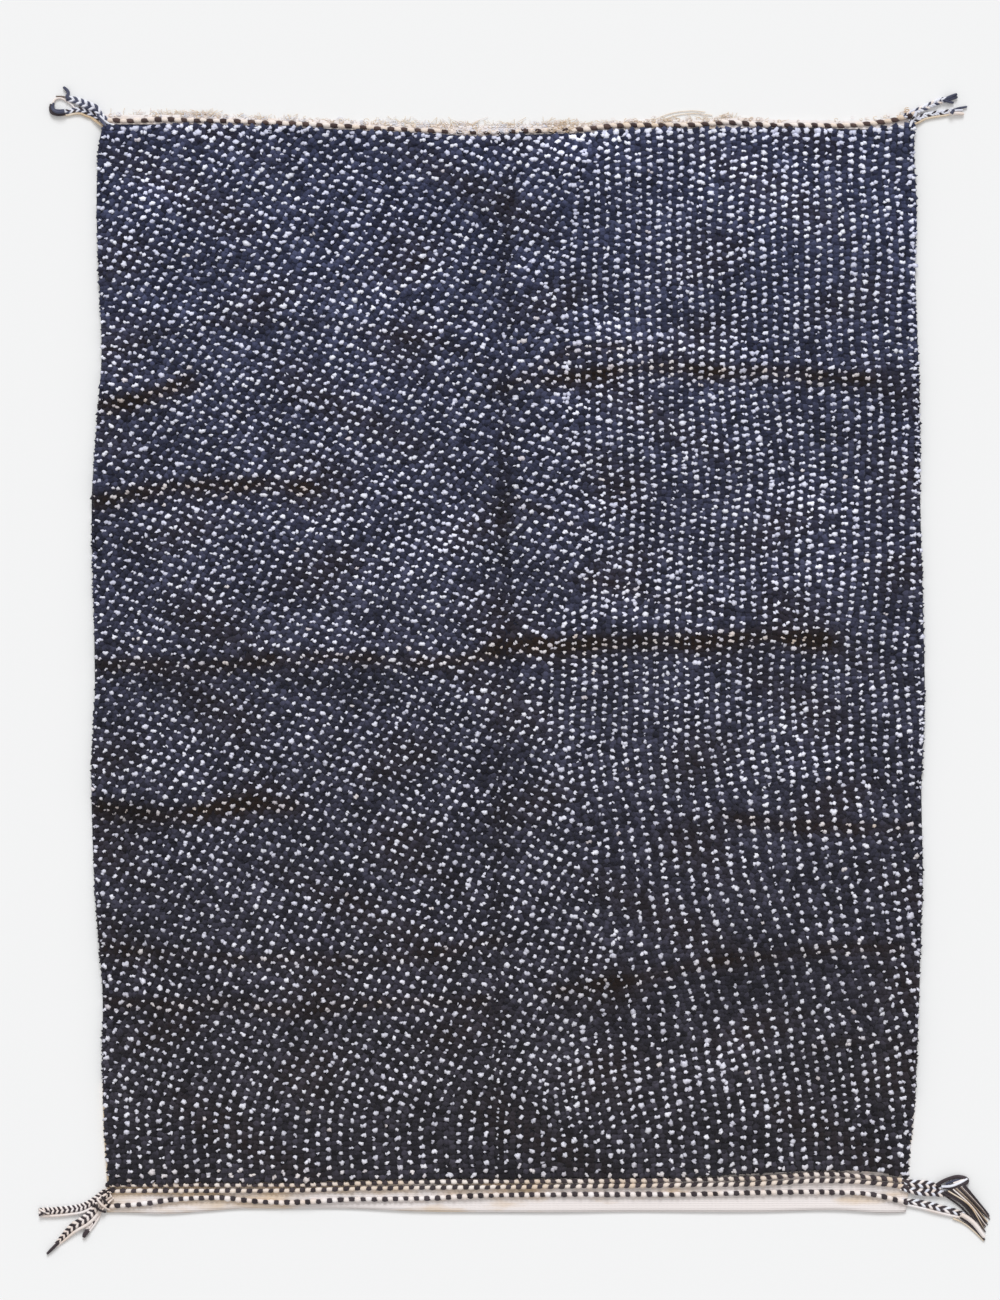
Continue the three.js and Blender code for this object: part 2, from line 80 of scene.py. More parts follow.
# distance across, end of the pile, inner, middle and outer twined cord, hem
bottomEnd = [
    (-736, -943.5, -950.5, -961.5, -990, -1001), (-675, -943.5, -950, -961, -985.5, -1001),
    (-611, -943.5, -950, -961, -977, -1004), (-533, -943.5, -950, -961, -973.5, -999),
    (-474, -943.5, -950, -961, -979, -994), (-410, -943.5, -950, -960.5, -982.5, -994),
    (-291, -941, -947.5, -957.5, -977, -994), (-163, -938.5, -945, -955.5, -975, -999),
    (-35, -937.5, -944, -954.5, -969.5, -1001), (203, -936, -942.5, -952, -967.5, -1000),
    (331, -933, -940, -950.5, -967.5, -1000), (450, -927, -938, -948.5, -964.5, -1000),
    (578, -922, -930, -942.5, -963.5, -997), (661, -927, -936.5, -946.5, -967.5, -1002),
    (727, -936, -943, -954, -982, -1000),
]
# each ridge: rise, reach above and below it, how far the pile parts, and its route across the rug
ridges = [
    (3.5, 70, 45, 0.2, [(-730, 576), (-565, 622), (-327, 622), (-90, 576), (-35, 540)]),
    (5, 45, 26, 1.0, [(-740, 479), (-657, 494), (-600, 515)]),
    (4, 45, 30, 0.5, [(-7, 512), (93, 567), (240, 586)]),
    (0, 45, 30, 0.3, [(5, 304), (70, 280), (130, 252)]),
    (0, 45, 30, 0.25, [(113, 167), (200, 150), (284, 121), (360, 112)]),
    (7, 55, 30, 0.75, [(70, 520), (150, 534), (240, 545), (386, 540), (532, 533), (640, 527)]),
    (7, 55, 30, 0.85, [(-745, 303), (-657, 318), (-565, 331), (-474, 331), (-380, 326)]),
    (6, 50, 32, 0.6, [(-740, 5), (-565, 2), (-382, 13), (-291, 18), (-163, 5), (-35, 24)]),
    (8, 60, 32, 1.0, [(-10, 36), (93, 42), (240, 44), (350, 48), (459, 51), (565, 49)]),
    (7, 50, 30, 0.9, [(-740, -256), (-639, -275), (-565, -262), (-492, -251), (-410, -258)]),
    (5, 60, 40, 0.65, [(420, -275), (533, -293), (710, -293)]),
    (5, 60, 38, 0.42, [(-735, -512), (-565, -531), (-199, -531), (-126, -522), (-35, -500)]),
    (3, 45, 35, 0.5, [(-730, -613), (-474, -619), (-382, -628), (-199, -613), (-60, -613)]),
    (4, 80, 60, 0.55, [(93, -595), (240, -567), (386, -540), (532, -522), (700, -512)]),
    (3, 60, 45, 0.3, [(560, -695), (720, -677)]),
]
# the lengthwise crease: distance along, distance across
valley = [(-939, -16), (-595, -22), (-320, -17), (10, -8), (668, -7), (942, 6)]
# how sharply it is pressed in: distance along, share
pressed = [(-935, 0.8), (-800, 0.75), (-710, 0.6), (-641, 0.5), (-548, 0.55), (-409, 0.6), (-339, 0.6),
           (-293, 0.85), (-176, 0.8), (-84, 0.55), (9, 0.75), (102, 0.4), (172, 0.6), (218, 1.0), (404, 1.0),
           (474, 0.75), (543, 0.45), (683, 0.55), (752, 0.85), (868, 0.9), (938, 0.2)]


def follow(rows, at, column):  # a column of a table at a place along its first column, smooth between rows
    table = np.asarray(rows, float)
    last = len(table) - 2
    place = np.clip(at, table[0, 0], table[-1, 0])
    row = np.clip(np.searchsorted(table[:, 0], place, side="right") - 1, 0, last)
    slopes = np.diff(table[:, column]) / np.diff(table[:, 0])
    span = table[row + 1, 0] - table[row, 0]
    before = np.where(row > 0, (slopes[np.maximum(row - 1, 0)] + slopes[row]) / 2, slopes[row])
    after = np.where(row < last, (slopes[np.minimum(row + 1, last)] + slopes[row]) / 2, slopes[row])
    part = (place - table[row, 0]) / span
    ease = part * part * (3 - 2 * part)
    return (table[row, column] * (1 - ease) + table[row + 1, column] * ease
            + part * (1 - part) ** 2 * before * span + part ** 2 * (part - 1) * after * span)


def smooth(value, low, high):
    part = np.clip((value - low) / (high - low), 0, 1)
    return part * part * (3 - 2 * part)


def bell(distance, reach):
    return np.exp(-(distance / reach) ** 2)


def sides(y):
    return follow(sideEdges, y, 1), follow(sideEdges, y, 2)


# how far a ridge runs out at its ends, how far its crest lies from its route, how far the pile parts above
# and below the route, where a painted highlight lies above the route and how far it reaches, and how near the
# crease a ridge sinks
ridgeForm = {"runOut": 60, "crest": 16, "partAbove": 10, "partBelow": 16, "lit": 30, "litReach": 20,
             "sinks": 90}


def creases(x, y):  # how far the cloth rises, how far the pile parts, and how strong a painted highlight it gets
    lift, parting, crest = np.zeros_like(x), np.zeros_like(x), np.zeros_like(x)
    for rise, above, below, parts, route in ridges:
        first, last, runOut = route[0][0], route[-1][0], ridgeForm["runOut"]
        fade = smooth(x, first - runOut, first) * (1 - smooth(x, last, last + runOut))
        across = y - follow(route, x, 1) - 2.5 * np.sin(x / 37 + rise)
        fromCrest = across - ridgeForm["crest"]
        lift += rise * fade * bell(fromCrest, np.where(fromCrest > 0, above, below))
        uneven = 0.75 + 0.25 * np.sin(x / 53 + rise) * np.sin(x / 21 + 1.3 * rise)
        reach = np.where(across > 0, ridgeForm["partAbove"], ridgeForm["partBelow"]) * (0.6 + 0.8 * parts)
        parting += parts * fade * uneven * bell(across, reach)
        # painted highlight on the upper slope of each ridge
        crest += parts * fade * uneven * bell(across - ridgeForm["lit"], ridgeForm["litReach"])
    beside = x - follow(valley, y, 1)
    return lift * (1 - bell(beside, ridgeForm["sinks"])), np.clip(parting, 0, 1), np.clip(crest, 0, 1)


def valleyShare(x, y, width):  # how deep in the lengthwise crease a place lies
    inside = smooth(y, -939, -879) * (1 - smooth(y, 882, 942))
    return inside * bell(x - follow(valley, y, 1), width)


def valleyLines(x, y):  # the pile parts in two lines along the crease, one on each side of a row
    beside = np.abs(x - follow(valley, y, 1))
    inside = smooth(y, -945, -920) * (1 - smooth(y, 900, 942))
    return inside * bell(beside - 7 - 2 * np.sin(y / 45), 4.5) * follow(pressed, y, 1)


def lumps(x, y):
    wave = np.sin(x / 131 + 1.3) * np.cos(y / 97 + 0.4) + np.sin((x - y) / 173)
    return 0.9 * wave + 0.7 * np.sin(x / 38 + y / 61) * np.cos(y / 43 - x / 88)


# the first rise of a ridge only closes the pile; the crease sinks by its depth
pileForm = {"closes": 1.2, "valleyDepth": 4.5, "valleyWidth": 13}


def valleyDepth(x, y):
    return pileForm["valleyDepth"] * valleyShare(x, y, pileForm["valleyWidth"])


def pileBase(x, y):  # how much higher than plain flat cloth the pile stands
    return np.maximum(0, creases(x, y)[0] - pileForm["closes"]) + lumps(x, y) - valleyDepth(x, y)


# patches of painted light (brighter) and painted shade (darker), laid on the pile where its folds catch or
# lose the light:
# place across, place along, reach across, reach along, how much brighter
paintedLightPatches = [
    (-629, 864, 60, 22, 0.4), (95, 945, 60, 22, 0.4), (555, 892, 170, 60, 0.12), (-72, 930, 110, 26, 0.1),
    (-142, 600, 110, 45, 0.08), (-95, 265, 60, 40, 0.15), (-430, 260, 130, 30, 0.09),
    (160, 288, 60, 40, 0.12), (578, 265, 150, 55, 0.12), (440, 172, 200, 45, 0.1), (-211, 172, 150, 50, 0.08),
    (530, -176, 110, 70, 0.1), (-211, -757, 60, 40, 0.17), (300, -757, 100, 40, 0.15),
    (-629, 590, 90, 50, -0.1), (-629, 450, 90, 45, -0.09), (578, 636, 80, 110, -0.08),
    (-35, 850, 90, 30, -0.12), (-397, 358, 110, 30, -0.1), (-304, -34, 130, 35, -0.14),
    (-629, -35, 150, 40, -0.12), (230, -37, 150, 30, -0.06), (-165, -153, 80, 50, -0.09),
    (-690, -270, 60, 60, -0.18), (322, -293, 150, 40, -0.06), (-690, -490, 60, 60, -0.15),
    (-490, -594, 160, 40, -0.07), (183, -618, 110, 60, -0.07), (-50, 733, 45, 25, -0.12),
    (330, 640, 35, 28, -0.1), (462, -548, 120, 60, -0.15), (648, -618, 80, 70, -0.15),
    (-583, -664, 120, 35, -0.09),
]
# how strongly the painted light and shade show: the patches, the ridges' painted highlight, the painted shade
# in the crease and along its two lines
paintedLightShares = {"patches": 1.4, "lit": 0.15, "crease": 0.1, "creaseReach": 18, "lines": 0.17, "lowerLines": 0.1}


def paintedPileLight(x, y):  # painted light and shade on the pile: how much brighter or darker its colour is painted
    paintedLight = np.zeros_like(x)
    for middleX, middleY, reachX, reachY, amount in paintedLightPatches:
        paintedLight += amount * np.exp(-((x - middleX) / reachX) ** 2 - ((y - middleY) / reachY) ** 2)
    # painted light and shade: slow waves of brighter and darker pile
    paintedLight += 0.07 * np.sin(x / 61 + 1.9 * np.sin(y / 83)) * np.sin(y / 37 + 1.4 * np.sin(x / 97))
    paintedLight += 0.05 * np.sin(x / 23 + 2.3 * np.sin(y / 47)) * np.sin(y / 19 + 1.7 * np.sin(x / 39))
    # painted shade in the lengthwise crease and along its two lines
    crease = paintedLightShares["crease"] * valleyShare(x, y, paintedLightShares["creaseReach"]) * follow(pressed, y, 1)
    lines = paintedLightShares["lines"] + paintedLightShares["lowerLines"] * smooth(-y, 560, 720)
    paintedLight -= crease + lines * valleyLines(x, y)
    return paintedLightShares["patches"] * paintedLight + paintedLightShares["lit"] * creases(x, y)[2]


# Materials.
def linear(code):  # sRGB hex to the linear colour that a shader takes
    parts = [int(code[i:i + 2], 16) / 255 for i in (1, 3, 5)]
    return [c / 12.92 if c <= 0.04045 else ((c + 0.055) / 1.055) ** 2.4 for c in parts] + [1]


def addNode(material, kind, settings):  # a setting is a socket to link, an input's value or a property
    node = material.node_tree.nodes.new(kind)
    for key, value in settings.items():
        if isinstance(value, bpy.types.NodeSocket):
            material.node_tree.links.new(value, node.inputs[key])
        elif isinstance(key, int) or key in node.inputs:
            node.inputs[key].default_value = value
        else:
            setattr(node, key, value)
    return node


def calculate(material, operation, *terms):  # each term is a number or a socket
    node = addNode(material, "ShaderNodeMath", {"operation": operation, **dict(enumerate(terms))})
    return node.outputs[0]


def noise(material, place, size, detail, roughness=0.5):  # patches about as wide as size
    settings = {"Scale": 1 / (2 * size * mm), "Detail": detail, "Roughness": roughness, "Vector": place}
    return addNode(material, "ShaderNodeTexNoise", settings).outputs["Fac"]


def mapRange(material, value, low, high, newLow=0.0, newHigh=1.0, kind="LINEAR"):
    settings = {"Value": value, "From Min": low, "From Max": high, "To Min": newLow, "To Max": newHigh,
                "interpolation_type": kind}
    return addNode(material, "ShaderNodeMapRange", settings).outputs["Result"]


def rampColours(material, share, stops):  # each stop's place and colour, from low to high
    ramp = addNode(material, "ShaderNodeValToRGB", {"Fac": share})
    elements = ramp.color_ramp.elements
    elements[0].position, elements[1].position = stops[0][0], stops[-1][0]
    for position, _ in stops[1:-1]:
        elements.new(position)
    for element, (_, code) in zip(elements, stops):
        element.color = linear(code)
    return ramp.outputs["Color"]


def mixColours(material, share, low, high):  # sockets 6, 7 and 2 are the node's colours
    return addNode(material, "ShaderNodeMix", {"data_type": "RGBA", 0: share, 6: low, 7: high}).outputs[2]


def newMaterial(name, finish):
    material = bpy.data.materials.new(name)
    material.use_nodes = True
    shader = material.node_tree.nodes["Principled BSDF"]
    for key, value in finish.items():
        shader.inputs[key].default_value = value
    return material, shader


def newWool(name, roughness, sheen, specular):
    material, shader = newMaterial(name, {"Roughness": roughness, "Sheen Weight": sheen, "IOR": 1.54,
                                          "Sheen Roughness": 0.5, "Specular IOR Level": specular})
    return material, shader, addNode(material, "ShaderNodeTexCoord", {}).outputs["Object"]


def finishWool(material, shader, colour, height, strength, depth):
    bump = addNode(material, "ShaderNodeBump", {"Strength": strength, "Distance": depth * mm,
                                                "Height": height})
    material.node_tree.links.new(colour, shader.inputs["Base Color"])
    material.node_tree.links.new(bump.outputs["Normal"], shader.inputs["Normal"])
    return material


# width of a clump of fibres and of a shade from one dyeing, and what these and a tuft's own tone add up to;
# then the places of the colour stops, and where along the rug the painted light runs from the bottom end's
# colours to the top end's
pileLook = {"clump": 2, "dyeing": 90, "clumpShare": 0.5, "toneShare": 0.45, "dyeShare": 0.4,
            "stops": (0.35, 0.65, 0.95), "paintedLightLow": -0.75, "paintedLightHigh": 0.78}
# each wool's colours at the top and the bottom end: the top end's are lighter and bluer, painted light from
# the top end
darkWool = {"topEnd": ("#181b2b", "#2c3047", "#4b506d"), "bottomEnd": ("#17151a", "#2a282f", "#44414c"),
            "warm": "#291e1a", "root": "#0f0e14", "shownFrom": 0.1, "shownTo": 0.8, "ragged": 0.5,
            "sheen": 0.12, **pileLook}
whiteWool = {"topEnd": ("#c4c7dd", "#e4e6fa", "#f3f5ff"), "bottomEnd": ("#bbb9c5", "#d8d7e2", "#ecebf3"),
             "warm": "#d9c1a2", "root": "#54566a", "shownFrom": 0.2, "shownTo": 1.0, "ragged": 0.8,
             "sheen": 0.1, **pileLook}
pileValues = ("tone", "warmth", "tip", "paintedLight")  # kept at each point of the pile


def woolPile(name, spec):
    # Hand-spun sheep's wool, cut to a short dense pile: matt, with a faint sheen off the fibre ends.
    material, shader, place = newWool(name, 0.92, spec["sheen"], 0.15)
    values = [addNode(material, "ShaderNodeAttribute", {"attribute_name": value}) for value in pileValues]
    tone, warmth, tip, paintedLight = [value.outputs["Fac"] for value in values]
    clump = noise(material, place, spec["clump"], 3, 0.6)
    dye = noise(material, place, spec["dyeing"], 2)
    blend = calculate(material, "MULTIPLY", clump, spec["clumpShare"])
    blend = calculate(material, "MULTIPLY_ADD", tone, spec["toneShare"], blend)
    blend = calculate(material, "MULTIPLY_ADD", dye, spec["dyeShare"], blend)
    # painted light: towards the top end the wool is painted lighter and bluer, where the cool light falls
    # from that end
    along = addNode(material, "ShaderNodeSeparateXYZ", {0: place}).outputs["Y"]
    paintedLightAlong = mapRange(material, along, spec["paintedLightLow"], spec["paintedLightHigh"])
    ends = [rampColours(material, blend, list(zip(spec["stops"], spec[end])))
            for end in ("bottomEnd", "topEnd")]
    colour = mixColours(material, paintedLightAlong, *ends)
    colour = mixColours(material, warmth, colour, linear(spec["warm"]))
    # only the cut tips are clean; further down, dark fibres lie over each tuft, and the root colour also
    # paints in the shade on a tuft's lower sides
    ragged = calculate(material, "MULTIPLY_ADD", clump, spec["ragged"], tip)
    shown = mapRange(material, ragged, spec["shownFrom"] + spec["ragged"] / 2,
                     spec["shownTo"] + spec["ragged"] / 2, kind="SMOOTHSTEP")
    colour = mixColours(material, shown, linear(spec["root"]), colour)
    # painted light and shade: the colour is scaled by the painted brightness kept at each point, lighter
    # where light would fall on the pile and darker in its shade
    lit = addNode(material, "ShaderNodeVectorMath", {"operation": "SCALE", 0: colour, "Scale": paintedLight})
    return finishWool(material, shader, lit.outputs["Vector"], clump, 0.5, 1.2)


def woolYarn(name, dark, light, patchSize):
    # Two-ply hand-spun wool yarn: matt, a little hairy, with fine stripes of fibre about 1.2 mm apart.
    material, shader, place = newWool(name, 0.88, 0.2, 0.2)
    fibre = noise(material, place, 1.2, 4, 0.65)
    share = calculate(material, "MULTIPLY_ADD", fibre, 0.5, noise(material, place, patchSize, 2))
    colour = rampColours(material, share, [(0.5, dark), (0.95, light)])
    return finishWool(material, shader, colour, fibre, 0.5, 0.5)


# the weave's spacing, the size, slant and stretch of its tan streaks, where along and across the rug there is
# more of the tan, from the low end of a range to its high end, and the places of the three shades
hemLook = {"weft": 1.6, "warp": 4, "streak": 45, "slant": 0.14, "stretch": (0.45, 1.6, 1),
           "acrossRange": (-0.5, 0.35, -0.09, 0.09), "alongRange": (-0.992, -0.966, 0.05, -0.06),
           "paintedLightTop": 0.12, "shades": [(0.34, "#dfc8ac"), (0.44, "#e6d7cb"), (0.52, "#eee6e4")]}


def wovenWool(spec):
    # Undyed wool woven flat, weft over warp: cream, with tan where the fleece was darker.
    material, shader, place = newWool("undyedFlatweave", 0.9, 0.2, 0.2)
    weft, warp = [addNode(material, "ShaderNodeTexWave", {
        "bands_direction": axis, "Scale": math.pi / (20 * spec[threads] * mm), "Distortion": distortion,
        "Detail": detail, "Detail Scale": scale, "Vector": place}).outputs["Fac"]
        for axis, threads, distortion, detail, scale in (("Y", "weft", 1.5, 2, 1.5), ("X", "warp", 1, 1, 1))]
    streaks = addNode(material, "ShaderNodeMapping", {"Rotation": (0, 0, spec["slant"]),
                                                      "Scale": spec["stretch"], 0: place})
    paler = noise(material, streaks.outputs[0], spec["streak"], 4, 0.6)
    across, along, _ = addNode(material, "ShaderNodeSeparateXYZ", {0: place}).outputs
    paler = calculate(material, "ADD", paler, mapRange(material, across, *spec["acrossRange"]))
    paler = calculate(material, "ADD", paler, mapRange(material, along, *spec["alongRange"]))
    # painted light: the whole top hem is painted paler, to offset the shade the top cord casts on it
    atTop = calculate(material, "GREATER_THAN", along, 0.0)
    paler = calculate(material, "MULTIPLY_ADD", atTop, spec["paintedLightTop"], paler)
    weave = calculate(material, "MULTIPLY_ADD", warp, 0.5, weft)
    return finishWool(material, shader, rampColours(material, paler, spec["shades"]), weave, 0.5, 0.7)


# a row's depth, a repeat's width and how far each row is shifted in it, the white knot's share of a repeat,
# and the share of a row that binds it to the next one
backLook = {"row": 7.2, "repeat": 40, "shift": 0.41, "white": 0.2, "binding": 0.2,
            "wools": ("#26252c", "#cfcfd6")}


def knotBacks(spec):
    # The back of the knots, flat rows of dark wool with one white knot in every four or five.
    material, shader, place = newWool("knotBacksWool", 0.9, 0, 0.2)
    across, along, _ = addNode(material, "ShaderNodeSeparateXYZ", {0: place}).outputs
    rows = calculate(material, "DIVIDE", along, spec["row"] * mm)
    shifted = calculate(material, "MULTIPLY", calculate(material, "FLOOR", rows), spec["shift"])
    repeats = calculate(material, "MULTIPLY_ADD", across, 1 / (spec["repeat"] * mm), shifted)
    inRow = calculate(material, "FRACT", rows)
    white = calculate(material, "LESS_THAN", calculate(material, "FRACT", repeats), spec["white"])
    bare = calculate(material, "GREATER_THAN", inRow, spec["binding"])
    shown = calculate(material, "MULTIPLY", white, bare)
    colour = mixColours(material, shown, *[linear(code) for code in spec["wools"]])
    return finishWool(material, shader, colour, inRow, 0.6, 1)


darkPileWool = woolPile("navyBlackPileWool", darkWool)
whitePileWool = woolPile("offWhitePileWool", whiteWool)
# each yarn: its material's name, its darker and lighter wool, and how wide its patches of one shade are
yarnWools = {
    "rusty": ("rustyBlackWoolYarn", "#332628", "#5a4743", 22),
    "dark": ("brownBlackWoolYarn", "#2a2224", "#4a4146", 22),
    "cream": ("creamWoolYarn", "#e5d3c6", "#f5efef", 22),
    "brown": ("brownWoolYarn", "#4f423c", "#83736a", 22),
    "navy": ("navyWoolYarn", "#2f3143", "#5b5e74", 22),
    "white": ("whiteWoolYarn", "#d5d6e4", "#f0f1f8", 22),
    "tan": ("tanWoolYarn", "#cbae89", "#efe2d0", 22),
    "mottled": ("creamTanWoolYarn", "#d8c0a6", "#f3eae6", 80),
}
yarnWools = {wool: woolYarn(*shades) for wool, shades in yarnWools.items()}
flatweaveWool = wovenWool(hemLook)
print("wools are mixed")


# Helpers that finish a piece.
def finishPiece(piece, nodes):
    piece.data.shade_smooth()
    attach(piece, "root")
    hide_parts(*nodes)
    return piece


def setPileValues(mesh, *values):  # in the order of pileValues
    for name, value in zip(pileValues, values):
        mesh.attributes.new(name, "FLOAT", "POINT").data.foreach_set("value", value.astype(np.float32))


# The ground, one cloth from hem to hem: flat-woven hems, and the matted foot of the pile between them.
# The last four are that foot's looks: tone, nearness to the tips, painted shade in a parting, and brightness,
# below one as painted shade deep in the pile.
groundCloth = {"across": 76, "along": 108, "left": -736, "width": 1461, "thickness": 3.0, "pileFoot": 10.0,
               "edgeFoot": 6.5, "collar": 3.5, "rim": 0.9, "rimReach": 12, "bareShare": 0.4,
               "bareEdgeBelow": -780, "tone": 0.4, "tip": 0.62, "shaded": 0.4, "brightness": 0.9}


def weaveGround(spec):
    across, along, thickness = spec["across"], spec["along"], spec["thickness"]
    bpy.ops.object.select_all(action="DESELECT")
    bpy.ops.mesh.primitive_grid_add(x_subdivisions=across, y_subdivisions=along, size=2)
    ground = bpy.context.object
    ground.name = "groundWeave"
    flat = np.empty(len(ground.data.vertices) * 3)
    ground.data.vertices.foreach_get("co", flat)
    column, row, _ = np.rint((flat.reshape(-1, 3) + 1) / 2 * (across, along, 0)).T
    nominal = spec["left"] + column / across * spec["width"]
    low, high = follow(bottomEnd, nominal, 5), follow(topEnd, nominal, 3)
    pileLow, pileHigh = follow(bottomEnd, nominal, 1), follow(topEnd, nominal, 1)
    # rows of the grid lie close together where the pile begins and ends
    places = [low, low + 7, (low + pileLow) / 2, pileLow - 2, pileLow + 1.5, pileLow + 8]
    places = np.stack(places + [pileHigh - 8, pileHigh - 1.5, pileHigh + 3.5, high - 4, high])
    ends = np.append(np.arange(6), along - np.arange(5)[::-1])
    y = np.array([np.interp(r, ends, places[:, i]) for i, r in enumerate(row)])
    left, right = sides(y)
    x = left + (right - left) * np.interp(column, [0, 1, 2, across - 2, across - 1, across],
                                          [0, 0.003, 0.009, 0.991, 0.997, 1])
    fromSide = np.minimum(x - left, right - x)
    onPile = smooth(y, pileLow - 2.1, pileLow + 1.4) * (1 - smooth(y, pileHigh - 1.4, pileHigh + 2.1))
    rise, parting, _ = creases(x, y)
    # the hem curls up a little at its rim, and the cloth bulges between the pile and the top cord
    rim = np.maximum(1 - (y - low) / spec["rimReach"], 0) + np.maximum(1 - (high - y) / spec["rimReach"], 0)
    lift = np.maximum(0, rise * onPile - pileForm["closes"])
    lift += spec["rim"] * rim * (1 + np.sin(x / 61 + 0.8) * np.sin(x / 143))
    collar = spec["collar"] * (row == along - 2)
    foot = spec["edgeFoot"] + (spec["pileFoot"] - spec["edgeFoot"]) * smooth(fromSide, 1, 9)
    foot = np.maximum(thickness, foot + lumps(x, y) - valleyDepth(x, y))
    top = lift + thickness + (foot - thickness) * onPile + collar
    solid = ground.modifiers.new("cloth", "SOLIDIFY")
    solid.thickness = thickness * mm
    solid.offset = 1
    bpy.ops.object.modifier_apply(modifier="cloth")
    places = np.concatenate([np.stack([x, y, top], 1), np.stack([x, y, lift], 1)])
    ground.data.vertices.foreach_set("co", (places * mm).ravel())
    # painted light and shade on the foot of the pile, darker still where the pile parts
    paintedLight = (1 + paintedPileLight(x, y) - spec["shaded"] * parting) * spec["brightness"]
    plain = np.ones(len(places))
    setPileValues(ground.data, plain * spec["tone"], np.tile(parting, 2), plain * spec["tip"],
                  np.tile(paintedLight, 2))
    for wool in (flatweaveWool, darkPileWool, knotBacks(backLook)):
        ground.data.materials.append(wool)
    kinds = []  # which of the three wools each face shows
    for face in ground.data.polygons:
        corners = np.array(face.vertices[:]) % len(x)
        atEdge = fromSide[corners].min() < 1 and y[corners[0]] < spec["bareEdgeBelow"]
        bare = onPile[corners].mean() < spec["bareShare"] or atEdge
        kinds.append(0 if bare else 1 if max(face.vertices) < len(x) else 2)
    ground.data.polygons.foreach_set("material_index", kinds)
    return finishPiece(ground, ["cloth"])


ground = weaveGround(groundCloth)
print("ground cloth is woven")


# Where the knots are tied. Rows of knots are worked from the top. A white knot is tied once in every
# four or five, and each row sets it a step further on: two fifths on the left half, one half on the right.
knotting = {"firstRow": 981.0, "lastRow": -936, "rowPitchTop": 6.85, "rowPitchMiddle": 7.5,
            "rowPitchBottom": 8.9, "leftRepeat": 42.2, "rightRepeat": 38.4, "sideRepeat": 44.0,
            "leftStep": 0.395, "rightStep": 0.5, "anchor": 350, "joinSpread": 10, "joinGap": 8, "closest": 17,
            "farthest": 60, "edge": 3, "pastEdge": 10, "darkSpacing": 10.2, "edgeSpacing": 9, "missed": 0.02}
# bands of rows on the right half, from the top: where each starts, its lean, and its widest repeat
rightBands = [(990, 0.0, 38.5), (640, 0.03, 38.5), (330, -0.05, 38.0), (20, 0.02, 38.5), (-140, 0.12, 45.0),
              (-225, 0.16, 50.0), (-410, 0.24, 52.0), (-505, 0.32, 57.0), (-630, 0.24, 51.0),
              (-690, 0.16, 43.0), (-850, 0.1, 45.0)]
# where the left half's way of knotting ends: distance along, distance across
meeting = [(-940, 20), (-800, 60), (-650, 130), (-520, 180), (-400, 145), (-220, 110), (-120, 60), (0, 50),
           (110, 110), (200, 150), (330, 140), (450, 120), (600, 85), (740, 85), (865, 120), (980, 150)]


def rowHeights(spec):  # nominal distance along the rug of each row of knots
    heights, y = [], spec["firstRow"]
    top, middle, bottom = spec["rowPitchTop"], spec["rowPitchMiddle"], spec["rowPitchBottom"]
    while y > spec["lastRow"]:
        heights.append(y)
        y -= (top + (middle - top) * (1 - smooth(y, -330, -150))
              + (bottom - middle) * (1 - smooth(y, -880, -780)))
    return heights


def leftWhites(y, left, join, phase, spec):
    xs = []
    x = left - spec["leftRepeat"] + phase % 1 * spec["leftRepeat"]
    while x < join:
        if x > left:
            xs.append(x)
        x += spec["leftRepeat"] * (1 + 0.04 * math.sin(x / 120 + y / 260))
    return xs


def rightRepeat(place, widest, spec):
    wide = smooth(place, 110, 230) * (1 - smooth(place, 640, 700))
    side = smooth(place, 500, 620) * (spec["sideRepeat"] - spec["rightRepeat"])
    return spec["rightRepeat"] + max((widest - spec["rightRepeat"]) * wide, side)


def rightWhites(row, drift, widest, join, right, spec):  # both ways from a knot that each row shifts
    repeat = rightRepeat(spec["anchor"], widest, spec)
    anchor = spec["anchor"] + (row % 2) * repeat / 2 + drift
    while anchor > spec["anchor"] + repeat:
        anchor -= repeat
    xs, x = [], anchor
    while x > join + spec["joinGap"]:
        xs.insert(0, x)
        x -= rightRepeat(x, widest, spec)
    x = anchor + rightRepeat(anchor, widest, spec)
    while x < right:
        xs.append(x)
        x += rightRepeat(x, widest, spec)
    return xs


def tieKnots(spec):
    white, dark = [], []
    band, drift, phase = -1, 0.0, 0.0
    for row, y in enumerate(rowHeights(spec)):
        while band < len(rightBands) - 1 and y <= rightBands[band + 1][0]:
            band += 1
        _, lean, widest = rightBands[band]
        drift += lean * spec["rowPitchMiddle"]
        left, right = np.array(sides(y)) + (spec["edge"], -spec["edge"])
        join = follow(meeting, y, 1) + dice.normal(0, spec["joinSpread"])
        phase += spec["leftStep"] + (spec["rightStep"] - spec["leftStep"]) * smooth(-y, 740, 860)
        xs = leftWhites(y, left, join, phase, spec)
        onRight = rightWhites(row, drift, widest, join, right, spec)
        if xs and onRight[0] - xs[-1] < spec["closest"]:
            xs.pop()
        if xs and onRight[0] - xs[-1] > spec["farthest"]:
            xs.append((onRight[0] + xs[-1]) / 2)
        xs += onRight
        if row == 0:  # the first row holds twice as many white knots
            xs = sorted(xs + [(a + b) / 2 for a, b in zip(xs, xs[1:])])
        for place, after in zip(xs, xs[1:] + [right + spec["pastEdge"]]):
            if dice.random() > spec["missed"]:
                white.append((place, y))
            count = max(1, round((after - place) / spec["darkSpacing"]) - 1)
            dark += [(place + (after - place) * (i + 1) / (count + 1), y) for i in range(count)]
        count = round((xs[0] - left) / spec["edgeSpacing"])
        dark += [(left + (xs[0] - left) * i / count, y) for i in range(count)]
    return np.array(white), np.array(dark)


# how unevenly the knots lie, how far the tufts reach past the pile's ends, and how the folds crowd them
settling = {"jitterX": 0.9, "jitterY": 0.52, "looser": 0.22, "pastTop": 3.5, "pastTopRight": 6, "overCord": 7,
            "tucked": 2.2, "tuckedCorner": 3, "crowding": 0.22, "crowdReach": 22, "pinch": 0.2,
            "pinchBelow": 0.2, "pinchReach": 26}


